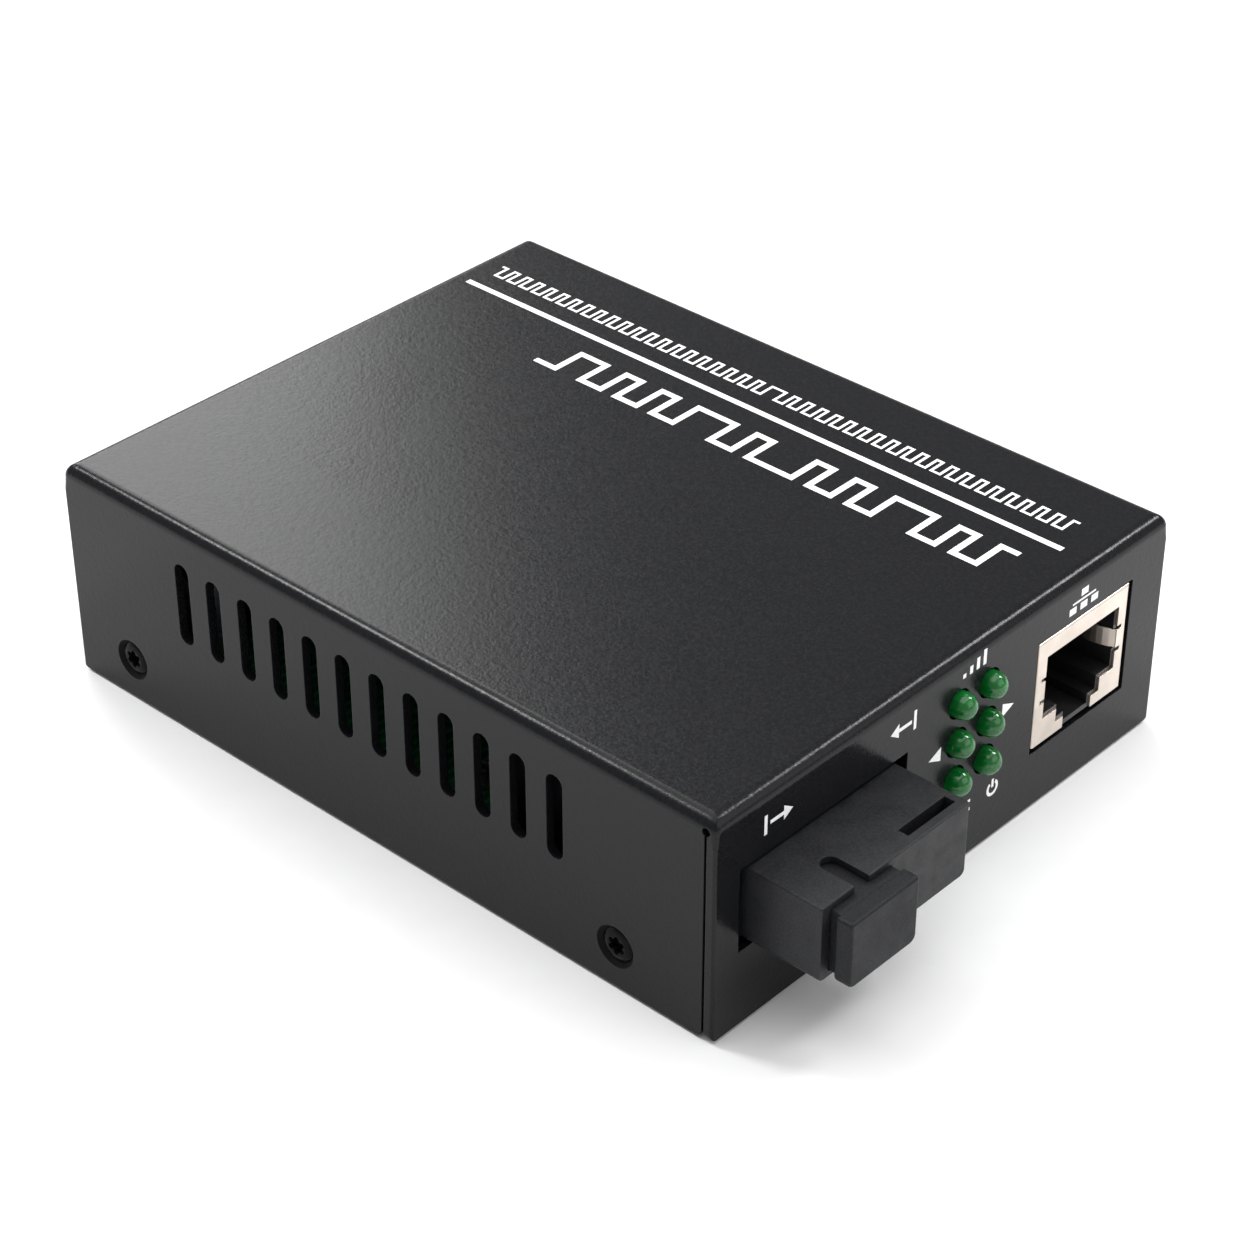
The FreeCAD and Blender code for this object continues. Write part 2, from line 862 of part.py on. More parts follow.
def jack_shield():
    """The jack's plated shield: a folded can with a stepped front opening and two spring tabs."""
    half = jack_width / 2
    top = board_top + jack_height
    back = jack_front_y + jack_depth
    outer = box(
        jack_middle_x - half, jack_middle_x + half, jack_front_y, back, board_top, top
    )
    outer = rounded(outer, jack_sheet, lambda b: same(b.YMin, jack_front_y) and same(b.YMax, jack_front_y)
                    and not same(b.ZMax, board_top))
    inner = box(
        jack_middle_x - half + jack_sheet,
        jack_middle_x + half - jack_sheet,
        jack_front_y + jack_sheet,
        back - jack_sheet,
        board_top - cut_over,
        top - jack_sheet,
    )
    can = outer.cut(inner)
    start = jack_front_y - cut_over
    end = jack_front_y + 2 * jack_sheet
    opening = plug_outline(0.0, board_top - cut_over, start)
    cutters = [opening.extrude(V(0, end - start, 0))]
    low = board_top + jack_tab_low
    for sx in (-1, 1):
        edge = jack_middle_x + sx * plug_half_width
        xs = sorted((edge - sx * jack_sheet, edge + sx * (jack_sheet + jack_tab_relief)))
        for z0, z1 in (
            (low - jack_tab_relief, low),
            (low + jack_tab_height, low + jack_tab_height + jack_tab_relief),
        ):
            cutters.append(box(xs[0], xs[1], start, end, z0, z1))
    return can.cut(cutters).fuse([jack_tab(-1), jack_tab(1)]).removeSplitter()


def jack_roof():
    """Height of the channel that the contacts run back in, above the plug's space."""
    return board_top + plug_top + contact_roof


def jack_housing():
    """The jack's insulator: stepped cavity, room for the spring tabs, and a contact channel."""
    half = jack_width / 2 - jack_sheet - jack_fit_gap
    front = jack_front_y + jack_sheet + seat_gap
    back = jack_front_y + jack_depth - jack_sheet - jack_fit_gap
    top = board_top + jack_height - jack_sheet - jack_fit_gap
    body = box(jack_middle_x - half, jack_middle_x + half, front, back, board_top, top)
    start = front - cut_over
    cavity = plug_outline(jack_cavity_inset, board_top + jack_floor, start)
    cavity = cavity.extrude(V(0, cut_over + jack_cavity_depth, 0))
    low = board_top + jack_tab_low
    tab_half = plug_half_width + 2 * jack_sheet + jack_tab_room
    tab_room = box(
        jack_middle_x - tab_half,
        jack_middle_x + tab_half,
        start,
        front + jack_tab_length + jack_tab_end_room,
        low - jack_tab_room,
        low + jack_tab_height + jack_tab_room,
    )
    comb = (contact_count - 1) * contact_pitch / 2 + contact_width
    comb_low = jack_middle_x - comb
    comb_high = jack_middle_x + comb
    roof = jack_roof()
    room = contact_room
    mouth_y = jack_front_y + jack_sheet + contact_setback - room
    tail_y = contact_tail_y()
    channels = [
        box(comb_low, comb_high, mouth_y, tail_y + room, roof - room, roof + room),
        box(comb_low, comb_high, mouth_y, mouth_y + contact_reach / 2,
            board_top + plug_top - cut_over, roof + room),
        box(comb_low, comb_high, tail_y - room, tail_y + room, board_top - cut_over, roof + room),
    ]
    pegs = []
    for sx in (-1, 1):
        x = jack_middle_x + sx * jack_peg_spacing / 2
        pegs.append(rod(jack_peg_radius, V(x, jack_peg_y, board_top + jack_peg_root),
                        V(x, jack_peg_y, board_low - pin_tail)))
    return body.cut([cavity, tab_room] + channels).fuse(pegs).removeSplitter()


def contact_xs():
    """The places of the jack's contacts across its width."""
    first = jack_middle_x - (contact_count - 1) * contact_pitch / 2
    return [first + i * contact_pitch for i in range(contact_count)]


def contact_tail_y():
    """Where the contacts turn down to the board behind the plug's space."""
    return jack_front_y + jack_cavity_depth + contact_tail_gap


def jack_contacts():
    """Eight sprung wires: a sloping finger in the cavity, a run back and a tail in the board."""
    roof = jack_roof()
    start = jack_front_y + jack_sheet + contact_setback
    tip_y = start + contact_reach
    path = [
        (tip_y, board_top + plug_top - contact_drop),
        (start + contact_knee_run, board_top + plug_top - contact_knee_drop),
        (start, roof - contact_loop_drop),
        (start + contact_loop_run, roof),
        (contact_tail_y(), roof),
        (contact_tail_y(), board_low - pin_tail),
    ]
    made = []
    for x in contact_xs():
        face = strip_profile(path, contact_thick, lambda a, b: V(x - contact_width / 2, a, b))
        made.append(face.extrude(V(contact_width, 0, 0)))
    return made


# ---------------------------------------------------------------- lamps
def lamp(x, z):
    """A 3 mm lamp: domed lens with a flange at its foot."""
    tip = front_y - lamp_proud
    shoulder = tip + lamp_radius
    turn = math.sqrt(0.5)
    spot = V(x, 0, z)

    def at(r, y):
        return spot + V(r, y, 0)

    dome = Part.Arc(
        at(0, tip),
        at(lamp_radius * turn, tip + lamp_radius * (1 - turn)),
        at(lamp_radius, shoulder),
    ).toShape()
    flange_y = lamp_back_y - lamp_flange_thick
    rest = Part.makePolygon(
        [
            at(lamp_radius, shoulder),
            at(lamp_radius, flange_y),
            at(lamp_flange_radius, flange_y),
            at(lamp_flange_radius, lamp_back_y),
            at(0, lamp_back_y),
            at(0, tip),
        ]
    )
    face = Part.Face(Part.Wire([dome] + rest.Edges))
    return face.revolve(spot, V(0, 1, 0), 360.0)


def lamp_holder():
    """The block on the board that carries the lamps in stepped bores."""
    low_x = lamp_xs[0] - lamp_flange_radius - holder_wall
    high_x = lamp_xs[-1] + lamp_flange_radius + holder_wall
    top = lamp_zs[-1] + lamp_flange_radius + holder_wall
    block = box(low_x, high_x, holder_front_y, holder_back_y, board_top, top)
    block = rounded(
        block, holder_round, lambda b: same(b.ZMin, top) and same(b.YMin, b.YMax)
    )
    seat_y = lamp_back_y - lamp_flange_thick - holder_bore_gap
    cutters = []
    for x in lamp_xs:
        for z in lamp_zs:
            cutters.append(
                rod(lamp_radius + holder_bore_gap, V(x, holder_front_y - cut_over, z),
                    V(x, seat_y + cut_over, z))
            )
            cutters.append(
                rod(lamp_flange_radius + holder_bore_gap, V(x, seat_y, z),
                    V(x, holder_back_y + cut_over, z))
            )
    return block.cut(cutters)


def lamp_leads():
    """Two leads a lamp, run back and turned down into the board behind the holder."""
    made = []
    for x in lamp_xs:
        for row, z in enumerate(lamp_zs):
            path = [(lamp_back_y, z), (lamp_lead_ys[row], z), (lamp_lead_ys[row], board_low - pin_tail)]
            for sx in (-1, 1):
                low_x = x + sx * lamp_lead_spacing / 2 - pin_width / 2
                face = strip_profile(path, pin_width, lambda a, b: V(low_x, a, b))
                made.append(face.extrude(V(pin_width, 0, 0)))
    return made


# ---------------------------------------------------------------- fibre module
def module_housing():
    """The moulded housing: nose with the fibre port and a blank half, and the body behind."""
    nose = box(
        nose_left_x, nose_left_x + nose_width, nose_front_y, module_front_y + root_lap, nose_low,
        nose_top
    )
    nose = rounded(nose, nose_low_round, lambda b: b.YLength > nose_reach and same(b.ZMax, nose_low))
    nose = rounded(
        nose,
        nose_edge_round,
        lambda b: same(b.YMax, nose_front_y) or b.YLength > nose_reach and same(b.ZMin, nose_top),
    )
    body = box(
        module_low_x,
        module_low_x + module_width,
        module_front_y,
        module_back_y,
        board_top,
        board_top + module_height,
    )
    body = rounded(body, module_edge_round, lambda b: same(b.YLength, module_depth)
                   and not same(b.ZMin, board_top))
    port = box(
        port_x - port_width / 2,
        port_x + port_width / 2,
        nose_front_y - cut_over,
        port_back_y,
        port_z - port_height / 2,
        port_z + port_height / 2,
    )
    key_end = nose_front_y + keyway_length - keyway_width / 2
    keyway = box(
        port_x - keyway_width / 2,
        port_x + keyway_width / 2,
        nose_front_y - cut_over,
        key_end,
        port_z,
        nose_top + cut_over,
    )
    key_round = rod(
        keyway_width / 2, V(port_x, key_end, port_z), V(port_x, key_end, nose_top + cut_over)
    )
    right = nose_left_x + nose_width - pocket_from_right
    pocket = box(
        right - pocket_width,
        right,
        nose_front_y + pocket_front_wall,
        nose_front_y + pocket_front_wall + pocket_length,
        nose_top - pocket_depth,
        nose_top + cut_over,
    )
    barrel_bore = rod(
        barrel_flange_radius + insert_gap,
        V(port_x, port_back_y - cut_over, port_z),
        V(port_x, module_back_y + cut_over, port_z),
    )
    return nose.fuse(body).removeSplitter().cut([port, keyway, key_round, pocket, barrel_bore])


def module_can():
    """The folded metal can over the rear of the module, open below and in front."""
    top = board_top + module_height
    outer = box(
        module_low_x, module_low_x + module_width, module_back_y, can_back_y, board_top, top
    )
    outer = rounded(
        outer, module_can_round,
        lambda b: not same(b.ZMin, board_top) and not same(b.YMax, module_back_y)
    )
    inner = box(
        module_low_x + module_can_sheet,
        module_low_x + module_width - module_can_sheet,
        module_back_y - cut_over,
        can_back_y - module_can_sheet,
        board_top - cut_over,
        top - module_can_sheet,
    )
    return outer.cut(inner)


def module_pin_xs():
    """The places of the module's nine pins."""
    first = nose_middle_x - (module_pin_count - 1) * module_pin_pitch / 2
    return [first + i * module_pin_pitch for i in range(module_pin_count)]


def module_board_height():
    """The underside of the module's own small board."""
    return board_top + module_board_lift


def module_board():
    """The module's small circuit board, inside the can."""
    gap = module_can_sheet + module_board_gap
    low = module_board_height()
    plate = box(
        module_low_x + gap,
        module_low_x + module_width - gap,
        laser_back_y() + module_board_laser_gap,
        can_back_y - gap,
        low,
        low + module_board_thickness,
    )
    holes = [
        pin_hole(x, module_pin_y, low - cut_over, low + module_board_thickness + cut_over)
        for x in module_pin_xs()
    ]
    return plate.cut(holes)


def module_pins():
    """Nine pins that join the module's board to the main board."""
    half = pin_width / 2
    high = module_board_height() + module_board_thickness + module_pin_head
    return [
        box(x - half, x + half, module_pin_y - half, module_pin_y + half, board_low - pin_tail, high)
        for x in module_pin_xs()
    ]


def latch_insert():
    """The port's insert: back plate, sleeve holder and two hooked latch arms."""
    side = port_width / 2 - insert_gap
    tall = port_height / 2 - insert_gap
    plate_front = port_back_y - insert_plate
    plate = box(
        port_x - side, port_x + side, plate_front, port_back_y, port_z - tall, port_z + tall
    )
    tube = rod(
        sleeve_holder_radius,
        V(port_x, plate_front - sleeve_holder_length, port_z),
        V(port_x, plate_front + root_lap, port_z),
    )
    arms = []
    for sx in (-1, 1):
        outside = side - latch_arm_gap
        inside = outside - latch_arm_thick
        tip = plate_front - latch_arm_length
        outline = [
            (outside, plate_front + root_lap),
            (outside, tip + latch_hook),
            (inside, tip),
            (inside - latch_hook, tip + latch_hook),
            (inside - latch_hook, tip + 2 * latch_hook),
            (inside, tip + 2 * latch_hook),
            (inside, plate_front + root_lap),
        ]
        face = outline_face(
            [V(port_x + sx * a, b, port_z - latch_arm_height / 2) for a, b in outline]
        )
        arms.append(face.extrude(V(0, 0, latch_arm_height)))
    bore = rod(
        sleeve_radius + seat_gap,
        V(port_x, plate_front - sleeve_holder_length - cut_over, port_z),
        V(port_x, port_back_y + cut_over, port_z),
    )
    return fuse([plate, tube] + arms).cut(bore)


def ferrule_sleeve():
    """The ceramic sleeve that lines up the two ferrules, slit along one side."""
    back = port_back_y + barrel_flange_thick
    tube = rod(sleeve_radius, V(port_x, back - sleeve_length, port_z), V(port_x, back, port_z))
    start, end = back - sleeve_length - cut_over, back + cut_over
    bore = rod(sleeve_bore_radius, V(port_x, start, port_z), V(port_x, end, port_z))
    half = sleeve_slit / 2
    slit = box(
        port_x - half, port_x + half, start, end, port_z - sleeve_radius - cut_over, port_z
    )
    return tube.cut([bore, slit])


def optical_barrel():
    """The turned barrel behind the port, with a flange in the housing and a seat for the laser."""
    origin = V(port_x, port_back_y, port_z)
    flange = barrel_flange_thick
    profile = [
        (sleeve_radius + seat_gap, 0.0),
        (barrel_flange_radius, 0.0),
        (barrel_flange_radius, flange),
        (barrel_radius, flange),
        (barrel_radius, barrel_length),
        (0.0, barrel_length),
        (0.0, flange + seat_gap),
        (sleeve_radius + seat_gap, flange + seat_gap),
    ]
    return turned(profile, origin, V(0, 1, 0), V(1, 0, 0))


def laser_back_y():
    """Where the laser can's header ends."""
    return port_back_y + barrel_length + laser_can_length + laser_header_thick


def laser_can():
    """The laser's sealed can behind the barrel."""
    origin = V(port_x, port_back_y + barrel_length, port_z)
    end = laser_can_length + laser_header_thick
    profile = [
        (0.0, 0.0),
        (laser_can_radius, 0.0),
        (laser_can_radius, laser_can_length),
        (laser_header_radius, laser_can_length),
        (laser_header_radius, end),
        (0.0, end),
    ]
    return turned(profile, origin, V(0, 1, 0), V(1, 0, 0))


def dust_cap():
    """The cap: a rounded head off the nose's face and a hollow plug in the port."""
    back = nose_front_y - cap_standoff
    middle = port_z - cap_drop
    head = box(
        port_x - cap_width / 2,
        port_x + cap_width / 2,
        back - cap_thick,
        back,
        middle - cap_height / 2,
        middle + cap_height / 2,
    )
    low = middle - cap_height / 2
    head = rounded(head, cap_low_round, lambda b: same(b.YLength, cap_thick) and same(b.ZMax, low))
    head = rounded(head, cap_round, lambda b: same(b.YMin, b.YMax) or b.ZMin > middle)
    half = port_width / 2 - cap_plug_gap
    tall = port_height / 2 - cap_plug_gap
    end = nose_front_y + cap_plug_length
    plug = box(
        port_x - half, port_x + half, back - cap_thick / 2, end, port_z - tall, port_z + tall
    )
    plug = plug.makeChamfer(cap_plug_chamfer, [e for e in plug.Edges if same(e.BoundBox.YMin, end)])
    hollow = box(
        port_x - half + cap_plug_wall,
        port_x + half - cap_plug_wall,
        nose_front_y,
        end + cut_over,
        port_z - tall + cap_plug_wall,
        port_z + tall - cap_plug_wall,
    )
    return head.fuse(plug).removeSplitter().cut(hollow)


# ---------------------------------------------------------------- power jack
def power_jack_body():
    """The power jack's moulding: square face, round barrel and foot on the board."""
    half = power_width / 2
    back = power_face_y - power_depth
    face = box(
        power_middle_x - half,
        power_middle_x + half,
        power_face_y - power_face_depth,
        power_face_y,
        board_top,
        board_top + power_height,
    )
    face = rounded(face, power_face_round, lambda b: same(b.YLength, power_face_depth)
                   and not same(b.ZMin, board_top))
    barrel = rod(
        power_barrel_radius,
        V(power_middle_x, back, power_z),
        V(power_middle_x, power_face_y - power_face_depth + root_lap, power_z),
    )
    foot = box(
        power_middle_x - half,
        power_middle_x + half,
        back,
        power_face_y - power_face_depth + root_lap,
        board_top,
        power_z,
    )
    bore = rod(
        power_bore_radius,
        V(power_middle_x, power_pin_back_y, power_z),
        V(power_middle_x, power_face_y + cut_over, power_z),
    )
    pin_hole = rod(
        power_pin_shank_radius + seat_gap,
        V(power_middle_x, back - cut_over, power_z),
        V(power_middle_x, power_pin_back_y + cut_over, power_z),
    )
    leaf_half = power_leaf_width / 2 + power_leaf_side_room
    leaf_room = box(
        power_middle_x - leaf_half,
        power_middle_x + leaf_half,
        power_pin_back_y,
        power_leaf_front_y() + power_leaf_end_room,
        board_top - cut_over,
        power_z - power_bore_radius + power_leaf_bore_lap,
    )
    return fuse([face, barrel, foot]).cut([bore, pin_hole, leaf_room])


def power_pin_tail():
    """Where the pin's tail enters the board."""
    return power_middle_x, power_face_y - power_depth - power_tail_setback


def power_leaf_tail():
    """Where the spring leaf's tail enters the board."""
    return power_middle_x, power_pin_back_y + power_leaf_tail_inset


def power_leaf_front_y():
    """The front end of the spring leaf."""
    return power_face_y - power_face_depth - power_leaf_front_inset


def power_pin():
    """The jack's centre pin, with a tail bent down into the board."""
    tail_y = power_pin_tail()[1]
    tip_y = power_face_y - power_pin_recess
    pin = rod(
        power_pin_radius,
        V(power_middle_x, power_pin_back_y - root_lap, power_z),
        V(power_middle_x, tip_y, power_z),
    )
    pin = pin.makeChamfer(power_pin_chamfer, [e for e in pin.Edges if same(e.BoundBox.YMin, tip_y)])
    shank = rod(
        power_pin_shank_radius,
        V(power_middle_x, tail_y, power_z),
        V(power_middle_x, power_pin_back_y, power_z),
    )
    half = pin_width / 2
    tail = box(
        power_middle_x - half,
        power_middle_x + half,
        tail_y - half,
        tail_y + half,
        board_low - pin_tail,
        power_z,
    )
    return fuse([pin, shank, tail])


def power_leaf():
    """The jack's outer contact: a bowed leaf under the plug's barrel and a tail in the board."""
    tail_y = power_leaf_tail()[1]
    front = power_leaf_front_y()
    crown = power_z - power_bore_radius + power_leaf_proud
    knee_low, knee_high = power_leaf_knee_drops
    path = [
        (tail_y, board_low - pin_tail),
        (tail_y, crown - knee_low),
        (tail_y + power_leaf_knee_run, crown - knee_high),
        ((tail_y + front) / 2, crown),
        (front, crown - power_leaf_tip_drop),
    ]
    face = strip_profile(
        path, power_leaf_thick, lambda a, b: V(power_middle_x - pin_width / 2, a, b)
    )
    return face.extrude(V(pin_width, 0, 0))


# ---------------------------------------------------------------- parts on the board
def gull_wing(x, y, way, rise, width, inside=0.0):
    """A bent pin from a package's side at (x, y), out along way and down to the board."""
    across = V(-way.y, way.x, 0)
    reach = chip_pin_reach
    low = gull_thick / 2
    path = [
        (-inside, rise), (reach * gull_knee_share, rise), (reach * gull_foot_share, low), (reach, low)
    ]
    start = V(x, y, board_top) - across * (width / 2)
    face = strip_profile(path, gull_thick, lambda a, b: start + way * a + V(0, 0, b))
    return face.extrude(across * width)


def bevelled_package(x, y, size_x, size_y, height):
    """A moulded package with drafted sides, a little off the board."""
    low = board_top + package_lift

    def ring(inset, z):
        hx = size_x / 2 - inset
        hy = size_y / 2 - inset
        return Part.makePolygon(
            [V(x - hx, y - hy, z), V(x + hx, y - hy, z), V(x + hx, y + hy, z),
             V(x - hx, y + hy, z), V(x - hx, y - hy, z)]
        )

    middle = low + height / 2
    lower = Part.makeLoft([ring(package_draft, low), ring(0, middle)], True, True)
    upper = Part.makeLoft([ring(0, middle), ring(package_draft, low + height)], True, True)
    return lower.fuse(upper)


def converter_chip():
    """The converter chip's package."""
    return bevelled_package(chip_x, chip_y, chip_size, chip_size, chip_height)


def converter_chip_pins():
    """Gull-wing pins on the chip's four sides."""
    made = []
    first = -(chip_pins_a_side - 1) * chip_pin_pitch / 2
    rise = package_lift + chip_height / 2
    half = chip_size / 2
    for i in range(chip_pins_a_side):
        s = first + i * chip_pin_pitch
        made.append(gull_wing(chip_x + half, chip_y + s, V(1, 0, 0), rise, chip_pin_width))
        made.append(gull_wing(chip_x - half, chip_y + s, V(-1, 0, 0), rise, chip_pin_width))
        made.append(gull_wing(chip_x + s, chip_y + half, V(0, 1, 0), rise, chip_pin_width))
        made.append(gull_wing(chip_x + s, chip_y - half, V(0, -1, 0), rise, chip_pin_width))
    return made


def network_transformer():
    """The network transformer's package."""
    return bevelled_package(
        transformer_x, transformer_y, transformer_width, transformer_length, transformer_height
    )


def transformer_pins():
    """Pins along the transformer's two long sides."""
    count = int(transformer_width / transformer_pin_pitch) - 1
    first = -(count - 1) * transformer_pin_pitch / 2
    half = transformer_length / 2
    rise = package_lift + transformer_height / 2
    width = transformer_pin_width
    made = []
    for i in range(count):
        x = transformer_x + first + i * transformer_pin_pitch
        made.append(gull_wing(x, transformer_y - half, V(0, -1, 0), rise, width))
        made.append(gull_wing(x, transformer_y + half, V(0, 1, 0), rise, width))
    return made


def crystal_can():
    """The crystal's drawn can, with round ends and a base flange."""
    def obround(length, width, z0, z1):
        straight = (length - width) / 2
        radius = width / 2
        middle = box(crystal_x - straight, crystal_x + straight, crystal_y - radius,
                     crystal_y + radius, z0, z1)
        ends = [
            rod(radius, V(crystal_x + s, crystal_y, z0), V(crystal_x + s, crystal_y, z1))
            for s in (-straight, straight)
        ]
        return fuse([middle] + ends)

    top = board_top + crystal_height
    can = obround(crystal_length, crystal_width, board_top, top)
    rim = [e for e in can.Edges if same(e.BoundBox.ZMin, top)]
    can = can.makeChamfer(crystal_edge, rim)
    flange = obround(
        crystal_length + 2 * crystal_flange, crystal_width + 2 * crystal_flange, board_top,
        board_top + crystal_flange_thick
    )
    return can.fuse(flange).removeSplitter()


def capacitor(x, y, radius, height):
    """An upright electrolytic capacitor with its crimped groove."""
    crimp = capacitor_crimp
    profile = [
        (0.0, 0.0),
        (radius, 0.0),
        (radius, capacitor_groove_low),
        (radius - crimp, capacitor_groove_low + capacitor_groove_height / 2),
        (radius, capacitor_groove_low + capacitor_groove_height),
        (radius, height - crimp),
        (radius - crimp, height),
        (0.0, height),
    ]
    return turned(profile, V(x, y, board_top), V(0, 0, 1), V(1, 0, 0))


def supply_capacitor():
    """The large capacitor by the left wall's rearmost slot."""
    return capacitor(
        supply_capacitor_x, supply_capacitor_y, supply_capacitor_radius, supply_capacitor_height
    )


def output_capacitor():
    """The smaller capacitor after the regulator."""
    return capacitor(
        output_capacitor_x, output_capacitor_y, output_capacitor_radius, output_capacitor_height
    )


def power_inductor():
    """The shielded power inductor, square with rounded corners."""
    block = box(
        inductor_x - inductor_size / 2,
        inductor_x + inductor_size / 2,
        inductor_y - inductor_size / 2,
        inductor_y + inductor_size / 2,
        board_top,
        board_top + inductor_height,
    )
    return rounded(block, inductor_round, lambda b: same(b.ZLength, inductor_height))


def voltage_regulator():
    """The regulator: drafted package, a tab on one side and three legs on the other."""
    body = bevelled_package(
        regulator_x, regulator_y, regulator_width, regulator_length, regulator_height
    )
    half = regulator_length / 2
    rise = package_lift + regulator_height / 2
    root = regulator_leg_root
    legs = [
        gull_wing(regulator_x + s * regulator_leg_pitch, regulator_y - half, V(0, -1, 0), rise,
                  regulator_leg_width, root)
        for s in (-1, 0, 1)
    ]
    tab = gull_wing(regulator_x, regulator_y + half, V(0, 1, 0), rise, regulator_tab_width, root)
    return fuse([body] + legs + [tab])


def chip_row(x, y, count):
    """A row of small chip parts."""
    half_x = chip_part_length / 2
    half_y = chip_part_width / 2
    high = board_top + chip_part_height
    made = []
    for i in range(count):
        middle = x + i * chip_part_pitch
        made.append(box(middle - half_x, middle + half_x, y - half_y, y + half_y, board_top, high))
    return made


def chip_resistors():
    """Chip resistors beside the lamps' leads."""
    return chip_row(resistor_row_x, resistor_row_y, resistor_count)


def chip_capacitors():
    """Chip capacitors beside them."""
    return chip_row(capacitor_row_x, capacitor_row_y, capacitor_count)


# ---------------------------------------------------------------- output
def lamps():
    """The six lamps by name."""
    columns = ("left", "right")
    rows = ("low", "middle", "high")
    return {
        "lamp_%s_%s" % (columns[c], rows[r]): lamp(lamp_xs[c], lamp_zs[r])
        for c in range(lamp_columns)
        for r in range(lamp_rows)
    }


def pieces():
    """Every piece by its node name; a list is a group of separate solids."""
    table = {
        "cover": cover(),
        "base": base(),
        "cover_screws": cover_screws(),
        "board_standoffs": board_standoffs(),
        "main_board": main_board(),
        "board_screws": board_screws(),
        "module_housing": module_housing(),
        "module_can": module_can(),
        "module_board": module_board(),
        "module_pins": module_pins(),
        "latch_insert": latch_insert(),
        "ferrule_sleeve": ferrule_sleeve(),
        "optical_barrel": optical_barrel(),
        "laser_can": laser_can(),
        "dust_cap": dust_cap(),
        "jack_shield": jack_shield(),
        "jack_housing": jack_housing(),
        "jack_contacts": jack_contacts(),
        "lamp_holder": lamp_holder(),
        "lamp_leads": lamp_leads(),
        "power_jack_body": power_jack_body(),
        "power_pin": power_pin(),
        "power_leaf": power_leaf(),
        "converter_chip": converter_chip(),
        "converter_chip_pins": converter_chip_pins(),
        "network_transformer": network_transformer(),
        "transformer_pins": transformer_pins(),
        "crystal_can": crystal_can(),
        "supply_capacitor": supply_capacitor(),
        "output_capacitor": output_capacitor(),
        "power_inductor": power_inductor(),
        "voltage_regulator": voltage_regulator(),
        "chip_resistors": chip_resistors(),
        "chip_capacitors": chip_capacitors(),
    }
    table.update(lamps())
    return table


def main():
    """Write one STEP file a node."""
    os.makedirs("parts", exist_ok=True)
    for name, shape in pieces().items():
        if isinstance(shape, list):
            shape = Part.makeCompound(shape)
        solids = len(shape.Solids)
        print("%-22s solids %2d valid %s volume %9.2f" % (name, solids, shape.isValid(), shape.Volume))
        shape.exportStep(os.path.join("parts", name + ".step"))


main()
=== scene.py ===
"""Looks of the fibre media converter: finishes, printed marks, studio and camera.

Lengths are in metres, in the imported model's own frame: +Z is up, the front panel faces -Y and +X is
to the right of somebody facing it. A class for each sub-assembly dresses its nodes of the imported
model, and the case's class also adds the pieces that only the looks need.
"""
from __future__ import annotations

import json
import logging
import math
from dataclasses import dataclass, field
from enum import Enum

import bmesh
import bpy
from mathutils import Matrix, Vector

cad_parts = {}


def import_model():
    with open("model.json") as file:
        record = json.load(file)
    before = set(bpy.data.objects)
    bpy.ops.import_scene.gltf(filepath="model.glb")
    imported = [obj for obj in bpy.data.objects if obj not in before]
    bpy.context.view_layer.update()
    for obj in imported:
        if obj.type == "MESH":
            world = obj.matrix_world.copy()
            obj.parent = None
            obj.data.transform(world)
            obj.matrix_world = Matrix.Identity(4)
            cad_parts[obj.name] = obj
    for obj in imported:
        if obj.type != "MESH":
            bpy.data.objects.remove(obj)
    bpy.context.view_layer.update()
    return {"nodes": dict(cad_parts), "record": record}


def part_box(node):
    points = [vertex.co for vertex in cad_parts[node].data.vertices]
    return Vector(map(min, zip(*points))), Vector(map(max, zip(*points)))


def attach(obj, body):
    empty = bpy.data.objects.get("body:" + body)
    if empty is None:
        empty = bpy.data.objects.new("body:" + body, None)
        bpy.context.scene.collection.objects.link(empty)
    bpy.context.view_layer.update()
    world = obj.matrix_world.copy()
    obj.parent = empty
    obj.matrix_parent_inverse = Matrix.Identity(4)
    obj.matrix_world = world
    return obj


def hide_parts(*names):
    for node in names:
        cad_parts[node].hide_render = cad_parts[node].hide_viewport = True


LOG = logging.getLogger("converter")
CHASSIS = "chassis"  # the body that every added piece rides on
MM = 0.001  # a millimetre, in metres
FULL_TURN = 360.0  # in degrees
EDGE_SAMPLES = 6  # how many samples a softened edge takes
LINE_RUN = 60.0  # how many times longer than wide a metal's lines are

Colour = tuple[float, float, float]
Point = tuple[float, float]
Triple = tuple[float, float, float]


def put(name: str, data: bpy.types.ID) -> bpy.types.Object:
    """Make an object of a mesh, a light or a camera and put it in the scene.

    Args:
        name: the object's name.
        data: what it is made of.

    Returns:
        The object.
    """
    thing = bpy.data.objects.new(name, data)
    bpy.context.scene.collection.objects.link(thing)
    return thing


def stand(thing: bpy.types.Object, at: Triple, aim: Triple) -> None:
    """Stand a light or a camera at one point, facing another."""
    thing.location = at
    thing.rotation_euler = (Vector(aim) - Vector(at)).to_track_quat("-Z", "Y").to_euler()


